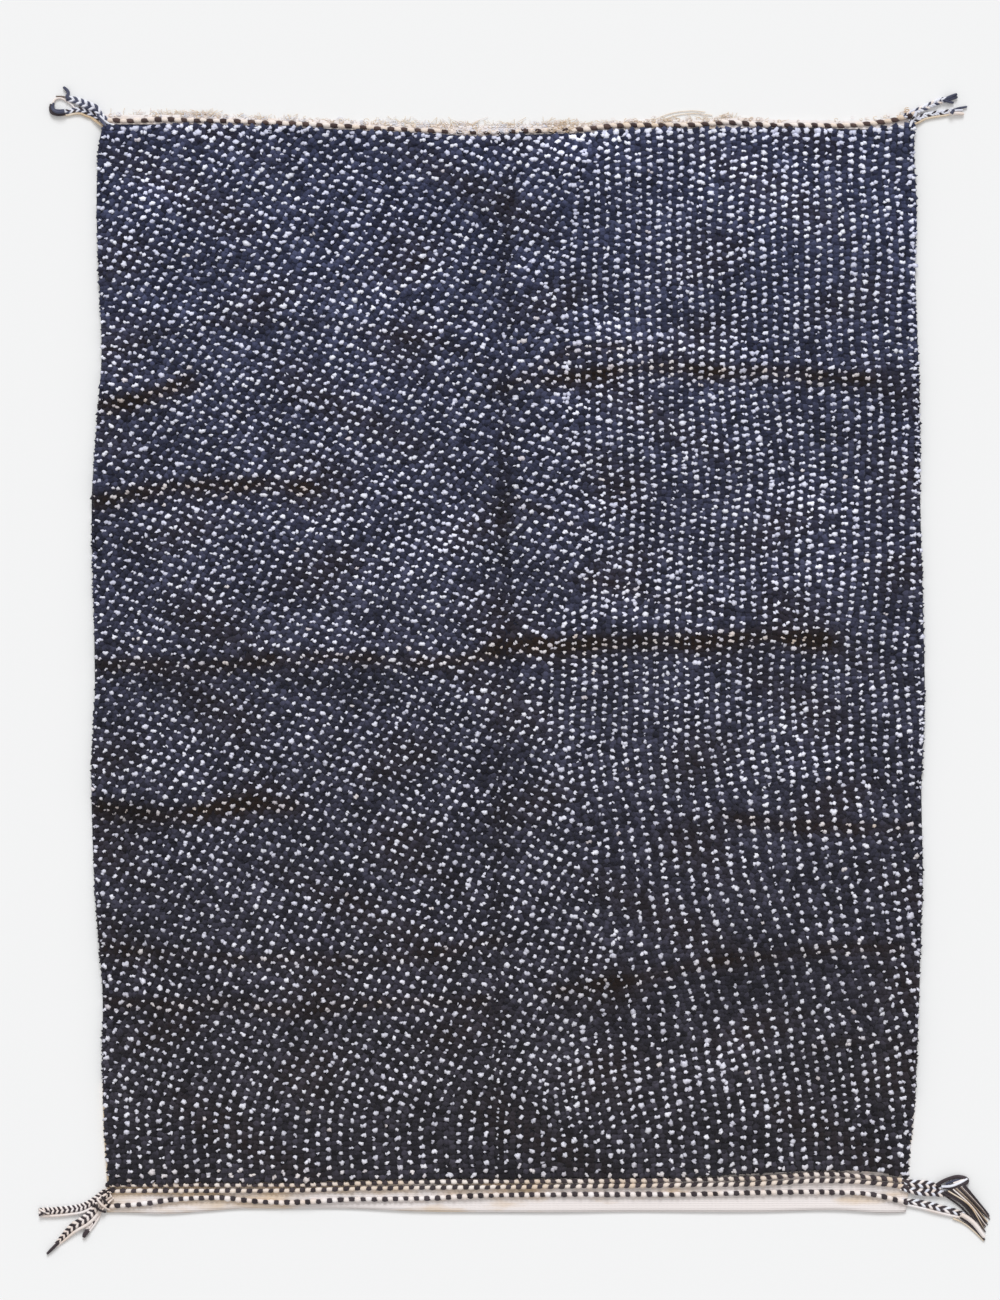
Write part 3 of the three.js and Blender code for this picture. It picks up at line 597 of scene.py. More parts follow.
def settle(knots, inset, spec):  # moves each knot from the plan to where it lies on the rug
    x, y = knots.T.copy()
    lastRow, firstRow = y.min(), y.max()
    x += 3.0 * np.sin(x / 70 + y / 95) * np.cos(y / 83) + 2.6 * np.sin(y / 47 + 1.7 * np.sin(x / 140))
    y += 3.6 * np.sin(x / 88 + 0.6) * np.cos(y / 120 + x / 300) + 1.8 * np.sin(x / 31 + y / 66)
    looser = 1 + spec["looser"] * (x < 0)  # the left half is knotted less evenly
    x += dice.normal(0, spec["jitterX"], len(x)) * looser
    y += dice.normal(0, spec["jitterY"], len(x)) * looser
    lowest = follow(bottomEnd, x, 1) - spec["overCord"] * smooth(-x, 560, 680)
    highest = follow(topEnd, x, 1) + spec["pastTop"] + spec["pastTopRight"] * smooth(x, 590, 700)
    share = (y - lastRow) / (firstRow - lastRow)
    y = lowest + inset + (highest - lowest - 2 * inset) * np.clip(share, 0, 1)
    left, right = sides(y)
    tucked = spec["tucked"] * smooth(-y, 740, 800) + spec["tuckedCorner"] * smooth(-y, 870, 910) * (x < 0)
    x = np.clip(x, left + inset + tucked, right - inset - tucked / 2)
    for _, _, _, parts, route in ridges:  # rows crowd together on the far side of a fold
        across = y - follow(route, x, 1)
        onRoute = (x > route[0][0]) * (x < route[-1][0])
        y -= spec["crowding"] * parts * across * bell(across, spec["crowdReach"]) * onRoute
    beside = x - follow(valley, y, 1)
    pinch = spec["pinch"] + spec["pinchBelow"] * smooth(-y, 560, 760)
    x -= pinch * beside * bell(beside, spec["pinchReach"])
    return x, y


# One tuft of each wool, then all of them. A knot's two ends of yarn stand side by side.
# height and half width of each ring of a tuft, from its knot to its cut tip, how much flatter than wide a
# tuft lies towards the top end, and how much painted shade darkens it where the pile parts
whiteTuft = {"sides": 5, "rings": [(3.0, 2.4), (12.2, 4.3)], "tip": 15.4, "flattened": 0.16, "shaded": 0.15,
             "pieces": ["whitePileUpper", "whitePileLower"]}
darkTuft = {"sides": 4, "rings": [(3.0, 5.4), (10.8, 8.1)], "tip": 14.4, "flattened": 0, "shaded": 0.42,
            "pieces": ["darkPileTop", "darkPileMiddle", "darkPileBottom"]}
# how unevenly the tufts stand, how far they lean down the rug and into a parting, and how far they sink
# there;
# then how low a point may reach, and how unevenly and within which limits the painted light on a tuft varies
standing = {"height": 0.45, "ragged": 0.7, "lean": 0.6, "down": 0.5, "parted": 1.5, "sunk": 2.4, "slope": 1.3,
            "lowest": 0.6, "paintedLightUneven": 0.05, "paintedLightLimits": (0.25, 1.4)}


def growTuft(spec):
    bpy.ops.object.select_all(action="DESELECT")
    firstHeight, firstRadius = spec["rings"][0]
    bpy.ops.mesh.primitive_circle_add(vertices=spec["sides"], radius=firstRadius * mm, fill_type="NGON",
                                      location=(0, 0, firstHeight * mm))
    tuft = bpy.context.object
    bpy.ops.object.transform_apply(location=True)
    bpy.ops.object.mode_set(mode="EDIT")
    bpy.ops.mesh.select_all(action="SELECT")
    height, radius = firstHeight, firstRadius
    for nextHeight, nextRadius in spec["rings"][1:] + [(spec["tip"], radius * 0.2)]:
        bpy.ops.mesh.extrude_region_move(TRANSFORM_OT_translate={"value": (0, 0, (nextHeight - height) * mm)})
        growth = nextRadius / radius
        bpy.ops.transform.resize(value=(growth, growth, 1), center_override=(0, 0, 0))
        height, radius = nextHeight, nextRadius
    bpy.ops.mesh.merge(type="CENTER")
    bpy.ops.mesh.select_all(action="SELECT")
    bpy.ops.mesh.quads_convert_to_tris()
    bpy.ops.mesh.normals_make_consistent(inside=False)
    bpy.ops.object.mode_set(mode="OBJECT")
    points = np.array([v.co[:] for v in tuft.data.vertices]) / mm
    faces = np.array([p.vertices[:] for p in tuft.data.polygons])
    bpy.ops.object.delete()
    return points, faces


def pileSlope(x, y):
    return (pileBase(x + 4, y) - pileBase(x - 4, y)) / 8, (pileBase(x, y + 4) - pileBase(x, y - 4)) / 8


def plantTufts(spec, x, y, sizes, turns, tones, warmths, material):
    points, faces = growTuft(spec)
    foot = spec["rings"][0][0]
    upTuft = (points[:, 2] - foot) / (points[:, 2].max() - foot)
    base, (slopeX, slopeY), parting = pileBase(x, y), pileSlope(x, y), creases(x, y)[1]
    uneven = dice.normal(0, standing["paintedLightUneven"], len(x))
    # painted light and shade on each tuft, darker where the pile parts
    paintedLight = np.clip(1 + paintedPileLight(x, y) - spec["shaded"] * parting + uneven, *standing["paintedLightLimits"])
    pieces = []
    for name, some in zip(spec["pieces"], np.array_split(np.argsort(-y, kind="stable"), len(spec["pieces"]))):
        count = len(some)
        local = np.repeat(points[None], count, 0)
        upper = np.clip((local[:, :, 2] - foot) / 9, 0, 1.2)  # 9 mm up a tuft bends freely
        local[:, :, :2] *= sizes[some][:, None]
        local[:, :, 2] += dice.normal(0, standing["height"], count)[:, None] * upper
        ragged = dice.normal(0, standing["ragged"], local.shape[:2] + (2,))
        local[:, :, :2] += ragged * upper[:, :, None]
        cos, sin = np.cos(turns[some])[:, None], np.sin(turns[some])[:, None]
        px = local[:, :, 0] * cos - local[:, :, 1] * sin
        py = local[:, :, 0] * sin + local[:, :, 1] * cos
        py *= (1 - spec["flattened"] * smooth(y[some], -750, 250))[:, None]
        lean = dice.normal(0, standing["lean"], (count, 2))
        px += lean[:, :1] * upper
        py += (lean[:, 1:] - standing["down"] - standing["parted"] * parting[some][:, None]) * upper
        sunk = (base[some] - standing["sunk"] * parting[some])[:, None]
        pz = local[:, :, 2] + sunk * np.where(upper > 0, 1, 0.6)
        pz += standing["slope"] * upper * (slopeX[some][:, None] * px + slopeY[some][:, None] * py)
        px += x[some][:, None]
        py += y[some][:, None]
        places = np.stack([px, py, np.maximum(pz, standing["lowest"])], 2).reshape(-1, 3) * mm
        mesh = bpy.data.meshes.new(name)
        index = faces[None] + (np.arange(count) * len(points))[:, None, None]
        mesh.from_pydata(places.tolist(), [], index.reshape(-1, 3).tolist())
        tone, warmth, light = [np.repeat(value[some], len(points)) for value in (tones, warmths, paintedLight)]
        setPileValues(mesh, tone, warmth, np.tile(upTuft, count), light)
        mesh.materials.append(material)
        piece = bpy.data.objects.new(name, mesh)
        scene.collection.objects.link(piece)
        pieces.append(finishPiece(piece, ["cloth"]))
    return pieces


# how many whites lie hidden in the crease, how far apart those are that wrap the two selvedges, and the
# sizes, turns and tones of the knots; then the same for the dark ones
whites = {"inset": 4.5, "hidden": 0.75, "wraps": 25, "wrapsUneven": 0.12, "wrapInset": 4.2, "wrapApart": 0.4,
          "wrapSize": 0.85, "faint": 0.07, "faintSize": 0.72, "faintTone": 0.4, "leftSize": 0.945,
          "rightSize": 0.99, "litSize": 0.6, "sizeUneven": 0.13, "creaseSize": 0.16, "turn": 0.12,
          "apart": 1.2, "apartTop": 0.7, "apartUneven": 0.8, "uneven": 0.4, "stained": 0.006, "second": 0.82,
          "ownSize": 0.15}
darks = {"inset": 3.5, "sizeUneven": 0.1, "edgeSize": 0.74, "tone": 0.5, "toneUneven": 0.27, "patches": 0.1,
         "partingWarm": 1.2, "brown": 0.4, "creaseWarm": 0.2}


def edgeKnots(spec):  # the whites that wrap the two selvedges
    x, y = [], []
    for column, inward in ((1, 1), (2, -1)):
        place = -930.0
        while place < 975:
            x.append(follow(sideEdges, place, column) + inward * spec["wrapInset"])
            y.append(place)
            place += spec["wraps"] * (1 + dice.normal(0, spec["wrapsUneven"]))
    return np.array(x), np.array(y)


def plantWhites(x, y, spec):
    shown = valleyLines(x, y) <= spec["hidden"] + dice.random(len(x))  # the pile closes over the others
    wrapX, wrapY = edgeKnots(spec)
    x, y = np.append(x[shown], wrapX), np.append(y[shown], wrapY)
    wraps = slice(-len(wrapX), None)
    parting, topward = creases(x, y)[1], smooth(y, -750, 250)
    faint = dice.random(len(x)) < spec["faint"]
    size = 1 + 0.12 * smooth(y, 950, 975) + 0.085 * smooth(y, 0, 500) + 0.02 * smooth(-y, 560, 900)
    size += 0.02 * smooth(-y, 300, 700) * (x > 0)
    size *= np.where(x < -10, spec["leftSize"], spec["rightSize"]) * np.where(faint, spec["faintSize"], 1)
    size *= 1 + spec["litSize"] * np.clip(paintedPileLight(x, y), -0.3, 0.22)
    size *= 1 - spec["creaseSize"] * valleyShare(x, y, 14)
    size *= np.exp(dice.normal(0, spec["sizeUneven"], len(x)))
    turn = dice.normal(spec["turn"], 0.7 - 0.3 * topward)
    turn += 1.2 * valleyShare(x, y, 17) * np.sign(dice.normal(0, 1, len(x)))
    apart = np.abs(dice.normal(spec["apart"] + spec["apartTop"] * topward, spec["apartUneven"])) * size
    # at the lower end the crease squeezes its whites into upright strokes
    squeezed = valleyShare(x, y, 15) * smooth(-y, 560, 720)
    turn = turn * (1 - squeezed) + math.pi / 2 * squeezed
    apart *= 1 + 0.9 * squeezed
    apart[wraps] *= spec["wrapApart"]  # the yarn that wraps a selvedge is thin
    size[wraps] *= spec["wrapSize"]
    uneven = dice.normal(0, spec["uneven"], len(x))
    tone = dice.random(len(x)) * np.where(faint, spec["faintTone"], 1)
    warm = 0.75 * parting * (0.2 + dice.random(len(x))) + 0.3 * (dice.random(len(x)) < spec["stained"])
    warm = np.clip(warm + 0.4 * smooth(-y, 900, 935) * dice.random(len(x)), 0, 1)
    tuftX = np.concatenate([x + side * apart * np.cos(turn) for side in (1, -1)])
    tuftY = np.concatenate([y + side * (apart * np.sin(turn) + uneven) for side in (1, -1)])
    tuftSize = (np.append(size, size * spec["second"]))[:, None]  # one end of each knot lies lower
    tuftSize = tuftSize * np.exp(dice.normal(0, spec["ownSize"], (len(tuftX), 2)))
    tuftSize[:, 1] *= (1 - 0.12 * np.tile(parting, 2)) * (1 + 0.2 * smooth(tuftY, 958, 966))
    return plantTufts(whiteTuft, tuftX, tuftY, tuftSize, dice.random(len(tuftX)) * math.pi, np.tile(tone, 2),
                      np.tile(warm, 2), whitePileWool)


def plantDarks(x, y, spec):
    left, right = sides(y)
    fromSide = np.minimum(x - left, right - x)
    size = spec["edgeSize"] + (1 - spec["edgeSize"]) * smooth(fromSide, 4, 10)
    size = np.exp(dice.normal(0, spec["sizeUneven"], (len(x), 2))) * size[:, None]
    turn = dice.random(len(x)) * math.pi
    patch = np.sin(x / 23 + y / 31) * np.sin(x / 41 - y / 19)
    tone = spec["tone"] + dice.normal(0, spec["toneUneven"], len(x)) + spec["patches"] * patch
    brown = np.maximum(0, np.sin(x / 57 + 2 * np.sin(y / 71)) * np.sin(y / 49 + x / 173))
    warm = spec["partingWarm"] * creases(x, y)[1] + spec["brown"] * brown
    warm += spec["creaseWarm"] * valleyShare(x, y, 14) * follow(pressed, y, 1)
    return plantTufts(darkTuft, x, y, size, turn, np.clip(tone, 0, 1), np.clip(warm, 0, 1), darkPileWool)


whiteKnots, darkKnots = tieKnots(knotting)
whiteKnots = settle(whiteKnots, whites["inset"], settling)
darkKnots = settle(darkKnots, darks["inset"], settling)
whitePile = plantWhites(*whiteKnots, whites)
print("white tufts are planted")
darkPile = plantDarks(*darkKnots, darks)
print("dark tufts are planted")


# Yarns: every cord and plait is made of them.
def layYarn(points, radii, material):  # a tube along its points, as a mesh
    curve = bpy.data.curves.new("yarn", "CURVE")
    curve.dimensions = "3D"
    spline = curve.splines.new("POLY")
    spline.points.add(len(points) - 1)
    spline.points.foreach_set("co", np.column_stack([points * mm, np.ones(len(points))]).ravel())
    spline.points.foreach_set("radius", np.broadcast_to(radii, len(points)).astype(float))
    curve.bevel_depth = 1 * mm
    curve.bevel_resolution = 1
    curve.use_fill_caps = True
    curve.materials.append(material)
    yarn = bpy.data.objects.new("yarn", curve)
    scene.collection.objects.link(yarn)
    return yarn


def bindYarns(name, yarns, node):
    bpy.ops.object.select_all(action="DESELECT")
    for yarn in yarns:
        yarn.select_set(True)
    bpy.context.view_layer.objects.active = yarns[0]
    bpy.ops.object.convert(target="MESH")
    bpy.ops.object.join()
    piece = bpy.context.object
    piece.name = name
    return finishPiece(piece, [node])


def smoothRoute(points, step):  # evenly spaced points on a smooth curve through the given ones
    given = np.asarray(points, float)
    along = np.append(0, np.cumsum(np.linalg.norm(np.diff(given, axis=0), axis=1)))
    fine = np.linspace(0, along[-1], 400)
    rows = np.column_stack([along, given])
    path = np.column_stack([follow(rows, fine, column + 1) for column in range(given.shape[1])])
    length = np.append(0, np.cumsum(np.linalg.norm(np.diff(path, axis=0), axis=1)))
    places = np.linspace(0, length[-1], max(4, round(length[-1] / step)))
    return np.column_stack([np.interp(places, length, path[:, i]) for i in range(path.shape[1])]), places


# The twined cords. Each yarn comes up as a fat oval stitch, then dips under the other one.
twining = {"slant": 1.2, "rise": 2.0, "swell": 0.38, "height": 5.4, "pointsPerTurn": 11}
# name, node, table, column, length of one turn, which way it turns, how far it is out of step at the left,
# the radius of a yarn, and its two wools
cords = [
    ("twinedCordTop", "cord_top", topEnd, 2, 25.0, 0.7, 0, 3.4, ("rusty", "mottled")),
    ("twinedCordInner", "cord_bottom_inner", bottomEnd, 2, 19.5, 0.8, 0, 3.2, ("dark", "mottled")),
    ("twinedCordMiddle", "cord_bottom_middle", bottomEnd, 3, 19.5, -0.8, 1.0, 3.2, ("dark", "mottled")),
    ("twinedCordOuter", "cord_bottom_outer", bottomEnd, 4, 19.5, 0.3, 0, 3.6, ("dark", "cream")),
]


def twineCord(name, node, table, column, turn, hand, outOfStep, yarnRadius, wools, spec):
    start, stop = table[0][0] - 1, table[-1][0] + 1
    x = np.linspace(start, stop, round((stop - start) / turn * spec["pointsPerTurn"]))
    middle = follow(table, x, column)
    if node == "cord_top":  # it wanders a little near its left end
        middle = middle + 2.2 * np.sin((x + 670) / 27) * bell(x + 668, 70)
    swing = 2 * math.pi * x / turn + 0.7 * np.sin(x / 97) + 0.35 * np.sin(x / 31)
    swing += math.pi * outOfStep * (1 - smooth(x, -250, 350))
    slant = hand * spec["slant"] * (0.35 + 0.65 * smooth(x, -150, 350))
    yarns = []
    for phase, wool in zip((0, math.pi), wools):
        wave = np.sin(swing + phase)
        y = middle + slant * np.cos(swing + phase) + 0.5 * np.sin(x / 17 + phase)
        uneven = 1 + 0.08 * np.sin(x / 13 + phase) + 0.07 * np.sin(x / 29 + 2 * np.sin(x / 83))
        if node == "cord_top" and phase == 0:  # loose wool hides the dark stitches near the middle
            uneven = uneven - 0.3 * bell(x + 60, 70)
        radius = yarnRadius * (1 + spec["swell"] * wave) * uneven
        points = np.column_stack([x, y, spec["height"] + spec["rise"] * wave])
        yarns.append(layYarn(points, radius, yarnWools[wool]))
    return bindYarns(name, yarns, node)


cordPieces = [twineCord(*cord, twining) for cord in cords]
print("cords are twined")


# The corners: the warps are gathered at each corner of the cloth, plaited, and left loose at the ends.
# The first three are shares of a plait's width: how far its yarns swing and rise, and a yarn's radius.
plaiting = {"swing": 0.31, "rise": 0.12, "yarn": 0.175, "step": 1.7, "edgeShare": 0.27, "edgeFill": 0.62,
            "rootRise": 6, "rootReach": 10, "liftReach": 60, "yarnStep": 3, "taper": 0.3}
# Each corner has its plaits and its loose yarns. Plait: wools of its four yarns and of the warp beside it,
# length of one crossing, height at its root, route. Yarn: thickness, wool, route. A route holds places across
# and along, and a plait's width or a yarn's height.
cornerPlaits = {
"plaits_top_left": ([
    ("navy white navy white", None, 27, 2.0, [(-735, 997, 9), (-744, 1003, 11), (-750, 1010, 12),
     (-757, 1018, 15), (-768, 1022, 16), (-781, 1028, 15), (-796, 1033.5, 13), (-809, 1036, 11)]),
    ("navy white dark white", "tan", 24, 0.3, [(-739, 990, 11), (-751, 998, 12), (-761, 1005, 13),
     (-771, 1009, 14), (-783, 1013.5, 14), (-796, 1013, 13), (-807, 1010.5, 13), (-818, 1011, 12)]),
], [
    (6.5, "navy", [(-803, 1035, 6), (-809, 1039, 6), (-805.5, 1045, 4.5), (-809, 1052, 4),
     (-815, 1057, 3.5)]),
    (3, "brown", [(-804, 1037, 3), (-816, 1039.5, 2.5), (-829, 1040.5, 1.7)]),
    (6, "navy", [(-813, 1013.5, 7), (-825, 1013, 6.5), (-833, 1016, 5), (-834, 1022, 4.5),
     (-833, 1028, 3.5)]),
    (6, "dark", [(-811, 1008, 5), (-824, 1006.5, 5), (-836, 1010, 5), (-839, 1018, 4), (-838, 1026, 3)]),
    (5, "navy", [(-813, 1011, 9), (-826, 1010, 9), (-834, 1015, 8), (-837, 1023, 5)]),
    (4, "cream", [(-835, 1026, 3), (-830, 1035, 2.2), (-820, 1037, 2), (-808, 1031, 2.2), (-798, 1023, 3),
     (-794, 1017, 3.5)]),
    (5.5, "navy", [(-752, 1004, 10), (-747, 998, 11), (-742, 991, 13), (-736, 984, 15)]),
    (5, "white", [(-748, 1003, 10), (-741, 997, 10), (-733, 990, 9), (-722, 987, 6)]),
    (3, "tan", [(-764, 1000, 3), (-752, 991, 6), (-744, 985, 8), (-738, 978, 9)]),
]),
"plaits_top_right": ([
    ("navy white white cream", None, 25, 2.0, [(722, 1002, 10), (733, 1008, 11), (745, 1013, 11),
     (757, 1018, 12), (767, 1022.5, 12), (779, 1028, 12), (795, 1034, 11)]),
    ("dark white white white", "tan", 23, 0.3, [(733, 991, 12), (746, 996, 13), (759, 1003, 13),
     (771, 1006, 13), (783, 1008, 13), (796, 1009.5, 12), (812, 1012.5, 12)]),
], [
    (6.5, "navy", [(793, 1032, 6), (806, 1038.5, 6), (819, 1044, 4.5)]),
    (6, "navy", [(795, 1031, 5), (808, 1035, 5), (820, 1039, 4)]),
    (5, "navy", [(795, 1033, 7), (804, 1030, 5), (813, 1028.5, 3)]),
    (4, "white", [(790, 1033, 8), (797, 1036, 7), (803, 1038, 5)]),
    (7, "cream", [(804, 1009, 5), (818, 1009, 4.5), (832, 1008, 3.5)]),
    (4, "white", [(806, 1012, 8), (818, 1014, 6), (830, 1015, 4)]),
    (7, "navy", [(808, 1008, 8), (813, 1015, 8)]),
    (4.5, "navy", [(813, 1015, 5), (822, 1018, 4), (838, 1021.5, 2.3)]),
    (5.5, "white", [(744, 1010, 12), (740, 1001, 12), (735, 991, 13), (732, 983, 14)]),
    (3.5, "dark", [(740, 1001, 15), (735, 996, 15)]),
]),
"plaits_bottom_left": ([
    ("dark cream dark cream", "cream", 17, 0.3, [(-736, -962, 14), (-749, -974, 17), (-762, -984, 18),
     (-779, -993, 19), (-803, -997.5, 19), (-828, -1000, 19), (-859, -1001.5, 18)]),
    ("dark cream dark cream", "cream", 22, 4.5, [(-729, -966, 13), (-740, -975, 15), (-749, -986, 17),
     (-760, -1002, 20), (-774, -1015, 22), (-796, -1029, 20), (-815, -1047, 14), (-829, -1061, 9)]),
    ("dark cream cream cream", "cream", 20, 1.5, [(-738, -981, 10), (-748, -994, 11), (-754, -1008, 12),
     (-764, -1024, 12), (-771, -1034, 11)]),
], [
    (6, "dark", [(-824, -1056, 4.5), (-834, -1066, 4), (-845, -1077, 3)]),
    (9, "dark", [(-770, -1033, 5), (-775, -1040, 5), (-778, -1046, 4)]),
    (3.4, "cream", [(-859, -994, 8), (-850, -999, 9), (-840, -1003, 8)]),
    (3.4, "dark", [(-859, -1006, 8), (-850, -1001, 9), (-840, -998, 8)]),
    (4.5, "dark", [(-722, -955, 6), (-734, -961, 11), (-746, -966, 9)]),
    (4.5, "cream", [(-722, -961, 6), (-735, -966, 12), (-750, -975, 12)]),
    (5, "dark", [(-727, -990, 6), (-736, -981, 13), (-744, -970, 14)]),
    (5, "cream", [(-730, -996, 5), (-742, -987, 13), (-752, -975, 15)]),
    (4.5, "dark", [(-738, -1000, 5), (-749, -994, 14), (-758, -983, 13)]),
    (4, "cream", [(-723, -974, 7), (-734, -984, 12), (-744, -996, 10)]),
]),
"plaits_bottom_right": ([
    ("dark white dark cream", None, 27, 0.3, [(717, -942, 11), (728, -945, 13), (740, -948, 14),
     (752, -949, 15), (766, -950, 15), (779, -954, 14), (790, -957, 12)]),
    ("dark white dark cream", None, 26, 0.3, [(717, -954, 11), (728, -958, 13), (740, -961, 14),
     (753, -963.5, 15), (766, -964, 15), (780, -964.5, 15), (797, -967, 14)]),
    ("dark white dark cream", "cream", 29, 0.3, [(719, -980, 11), (728, -982, 13), (740, -984, 16),
     (753, -986.5, 17), (766, -989.5, 18), (793, -996.5, 18), (819, -1003, 16), (831, -1006.5, 13)]),
], [
    (7, "dark", [(781, -951, 8), (792, -944, 8), (804, -939, 7), (822, -935.5, 5), (838, -941, 4.5),
     (838, -945, 5), (825, -950, 7), (808, -956, 8), (793, -955, 8)]),
    (5, "white", [(790, -953, 10), (806, -952, 11), (822, -947, 9), (838, -939, 7)]),
    (4, "cream", [(812, -947, 7), (824, -943, 7), (834, -940, 6)]),
    (4, "navy", [(798, -949, 7), (812, -943, 7), (824, -941, 6)]),
    (9, "cream", [(826, -1004, 7), (838, -1011, 5.5), (851, -1022, 5), (869, -1046, 4.5)]),
    (5, "dark", [(826, -1010, 5), (840, -1021, 3), (855, -1035, 2.5), (870, -1052, 2.5)]),
    (3, "tan", [(812, -1012, 3), (832, -1021, 2), (850, -1035, 2), (868, -1053, 2)]),
]),
}
# loose yarns that spread from the end of a plait: first and last yarn's start, middle and end
fans = {"plaits_bottom_right": {"count": 30, "thick": 3.1, "first": [(789, -965), (830, -992), (869, -1047)],
                                "last": [(834, -950), (860, -983), (880, -1006)]}}
fanWools = ("dark", "brown", "dark", "cream", "dark", "dark", "brown", "dark", "tan", "dark", "dark")


def plaitYarns(wools, beside, crossing, lift, route, spec):
    path, along = smoothRoute(route, spec["step"])
    ahead = np.gradient(path[:, :2], axis=0)
    ahead /= np.linalg.norm(ahead, axis=1)[:, None]
    width = path[:, 2]
    toSouth = -np.sign(ahead[:, 0].mean())  # the warp lies on the side away from the light
    share = 1 - spec["edgeShare"] if beside else 1
    height = spec["rootRise"] * np.exp(-along / spec["rootReach"]) + lift * np.exp(-along / spec["liftReach"])
    strands = []  # sideways place, radius, height and wool of each
    for k, wool in enumerate(wools.split()):
        swing = 2 * math.pi * (along / crossing + k / 4) + 0.3 * np.sin(along / 9) + 0.3 * np.sin(along / 23)
        side = spec["swing"] * width * share * np.sin(swing) - toSouth * width * (1 - share) / 2
        radius = spec["yarn"] * width * share * (1.08 + 0.08 * np.sin(along / 5 + k))
        z = (spec["rise"] * (1 + np.sin(2 * swing)) + spec["yarn"]) * share * width
        strands.append((side, radius, z, wool))
    if beside:
        radius = spec["edgeShare"] * width * spec["edgeFill"]
        strands.append((toSouth * (width / 2 - radius * 0.9), radius, radius, beside))
    yarns = []
    for side, radius, z, wool in strands:
        x, y = path[:, 0] - ahead[:, 1] * side, path[:, 1] + ahead[:, 0] * side
        yarns.append(layYarn(np.column_stack([x, y, z + height]), radius, yarnWools[wool]))
    return yarns


def fanYarns(fan):
    yarns = []
    first, last = np.array(fan["first"], float), np.array(fan["last"], float)
    for i in range(fan["count"]):
        share = (i + dice.random()) / fan["count"]
        route = first + (last - first) * share
        route[1:] += dice.normal(0, 1.6, (2, 2))
        route[2] -= (route[2] - route[1]) * 0.16 * dice.random()
        wool = fanWools[i % len(fanWools)]
        pale = wool in ("cream", "tan")  # these are thinner and lie on top
        height = fan["thick"] / 2 + 2.6 * (i % 3) + (1.5 if pale else 0)
        heights = [height + 3, height, fan["thick"] / 2]
        path, along = smoothRoute(np.column_stack([route, heights]), 4)
        radius = fan["thick"] / 2 * (0.85 if pale else 1) * (1 - 0.5 * (along / along[-1]) ** 4)
        yarns.append(layYarn(path, radius, yarnWools[wool]))
    return yarns


def makeCorner(node, plaits, loose, spec):
    yarns = []
    for plait in plaits:
        yarns += plaitYarns(*plait, spec)
    for thick, wool, route in loose:
        path, along = smoothRoute(route, spec["yarnStep"])
        taper = thick / 2 * (1 - spec["taper"] * (along / along[-1]) ** 4)
        yarns.append(layYarn(path, taper, yarnWools[wool]))
    if node in fans:
        yarns += fanYarns(fans[node])
    return bindYarns(node.replace("plaits", "plaitedCorner"), yarns, node)


cornerPieces = [makeCorner(node, *corner, plaiting) for node, corner in cornerPlaits.items()]
print("corners are plaited")


# Loose wool along the top hem, and two threads that have come away.
hemFuzz = {"fibres": 840, "curls": 420, "reach": 13, "even": 0.35, "evenSpread": 380, "end": 728,
           "onCordFrom": -125, "onCordTo": 115, "cordHeight": 10.5, "hemHeight": 4.2, "thread": 0.6,
           "curl": 0.55, "fibre": 0.42, "whiteTo": 70, "white": 0.5, "cream": 0.45}
# where it is thickest: place across, spread, share of curls
fuzzClumps = [(-584, 26, 0.1), (-580, 18, 0.4), (-560, 12, 0.1), (-650, 40, 0.6), (-200, 20, 0.5),
              (-120, 40, 1.0), (-60, 40, 1.0), (-25, 45, 1.0), (50, 25, 0.9), (105, 18, 1.0), (360, 45, 0.2),
              (401, 4, 0), (-440, 60, 0.6)]
looseThreads = [[(255, 992, 3), (291, 1008, 1.2), (331, 1014, 1.2), (359, 1012, 1.2)],
                [(268, 990, 3), (300, 1004, 1.2), (330, 1009, 1.2), (372, 1006, 1.2)]]


def curlPoints(x, y, spec):  # a small open loop of wool; in the middle they lie over the cord too
    turn = dice.uniform(0, 2 * math.pi) + np.linspace(0, dice.uniform(3.5, 6), 8)
    radius = dice.uniform(1.8, 3.8)
    onCord = spec["onCordFrom"] < x < spec["onCordTo"] and dice.random() < 0.5
    middleY = y + (dice.uniform(-10, -1) if onCord else 3.5 + dice.normal(0, 2))
    height = spec["cordHeight"] if onCord else spec["hemHeight"]
    return np.column_stack([x + radius * np.cos(turn) * 1.3, middleY + radius * np.sin(turn),
                            height + 1.2 * np.sin(turn / 2)])


def fibrePoints(x, y, clumped, spec):
    reach = spec["reach"] * abs(dice.normal(0.65, 0.35) if clumped else dice.normal(0.25, 0.15))
    share = np.linspace(0, 1, 5)
    sway = dice.normal(0, 0.9) * reach * share + dice.normal(0, 4) * np.sin(share * 4)
    height = 1.2 + 3 * np.sin(share * 2.6) * dice.random()
    return np.column_stack([x + sway, y + reach * share, height])


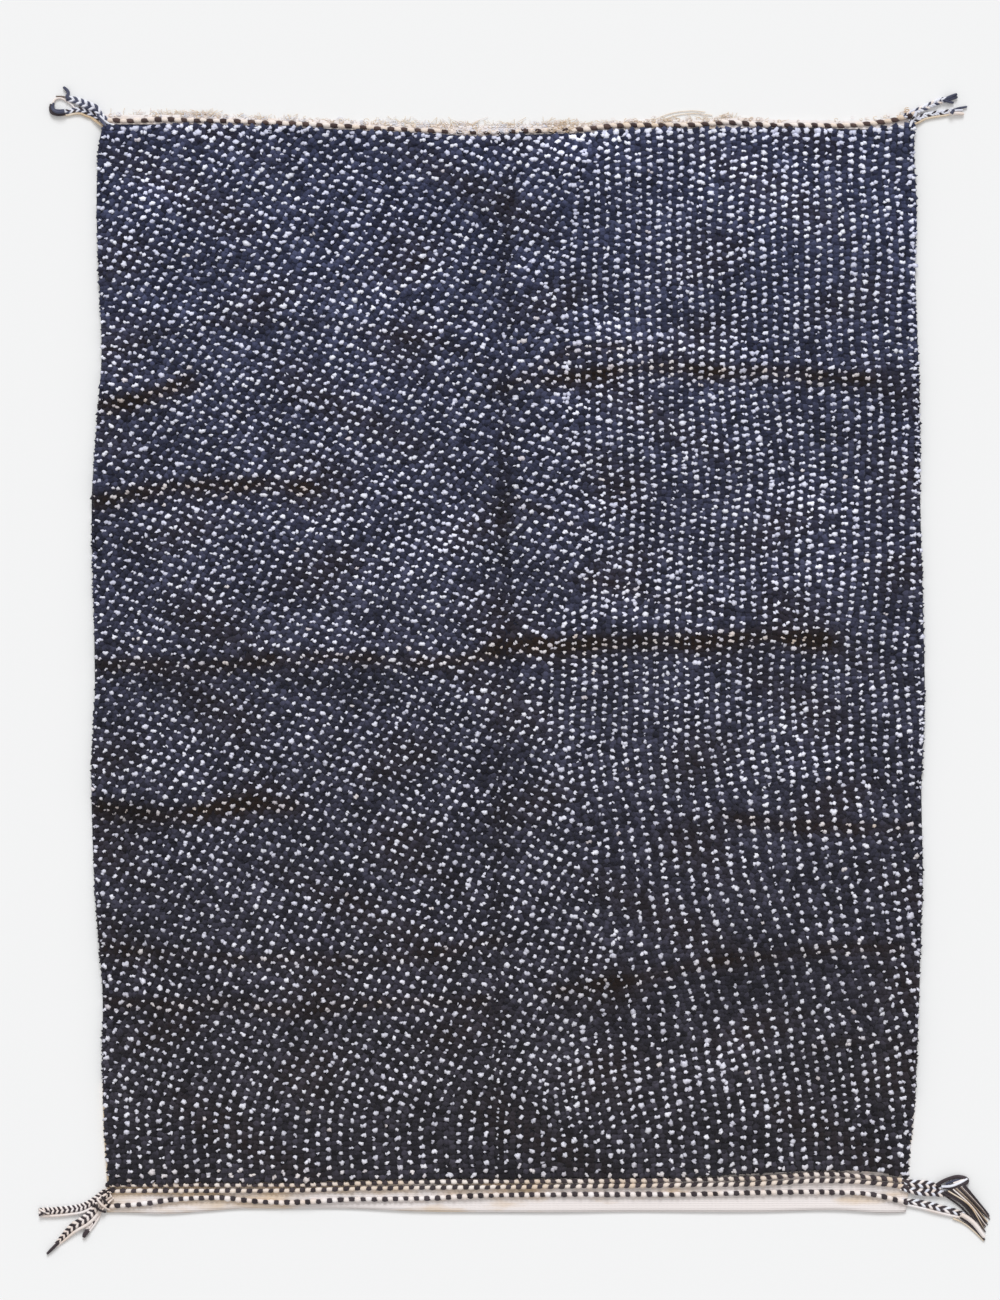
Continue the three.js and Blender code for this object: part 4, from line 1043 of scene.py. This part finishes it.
def teaseFuzz(spec):
    fibres = [layYarn(smoothRoute(thread, 6)[0], spec["thread"], yarnWools["tan"]) for thread in looseThreads]
    for i in range(spec["fibres"] + spec["curls"]):
        middle, spread, curly = fuzzClumps[dice.integers(len(fuzzClumps))]
        curled, clumped = i >= spec["fibres"], True
        if dice.random() < spec["even"] or (curled and dice.random() > curly):
            middle, spread, clumped = 0, spec["evenSpread"], False
        x = float(np.clip(middle + dice.normal(0, spread), -spec["end"], spec["end"]))
        y = float(follow(topEnd, x, 3)) - 4
        points = curlPoints(x, y, spec) if curled else fibrePoints(x, y, clumped, spec)
        chance, white = dice.random(), spec["white"] if curled and x < spec["whiteTo"] else 0
        wool = "white" if chance < white else "cream" if chance < spec["cream"] + 0.5 * white else "tan"
        fibres.append(layYarn(points, spec["curl"] if curled else spec["fibre"], yarnWools[wool]))
        fibres[-1].data.bevel_resolution = 0
    return bindYarns("topHemFuzz", fibres, "cord_top")


fuzz = teaseFuzz(hemFuzz)
print("fuzz is teased out")


# Floor and light.
studio = {"sun": 2.0, "sunTurn": (-50, 0, 0), "sunAngle": 25, "sunColour": (0.95, 0.975, 1.0), "sky": 0.62,
          "skyColour": (1.0, 0.99, 0.98, 1), "floor": "#f3f3f3", "floorSize": 60, "floorDrop": 0.5}

bpy.ops.object.select_all(action="DESELECT")
bpy.ops.mesh.primitive_plane_add(size=studio["floorSize"], location=(0, 0, -studio["floorDrop"] * mm))
floor = bpy.context.object
floor.name = "paleFloor"
floorPaint, _ = newMaterial("mattFloorPaint", {"Base Color": linear(studio["floor"]), "Roughness": 1,
                                               "Specular IOR Level": 0})
floor.data.materials.append(floorPaint)

bpy.ops.object.light_add(type="SUN", location=(0, 3, 3),
                         rotation=[math.radians(angle) for angle in studio["sunTurn"]])
sun = bpy.context.object
sun.name = "windowLight"
sun.data.energy = studio["sun"]
sun.data.angle = math.radians(studio["sunAngle"])
sun.data.color = studio["sunColour"]
world = bpy.data.worlds.new("studioWorld")
world.use_nodes = True
sky = world.node_tree.nodes["Background"].inputs
sky["Color"].default_value = studio["skyColour"]
sky["Strength"].default_value = studio["sky"]
scene.world = world
scene.view_settings.view_transform = "Standard"
print("floor and light are set")
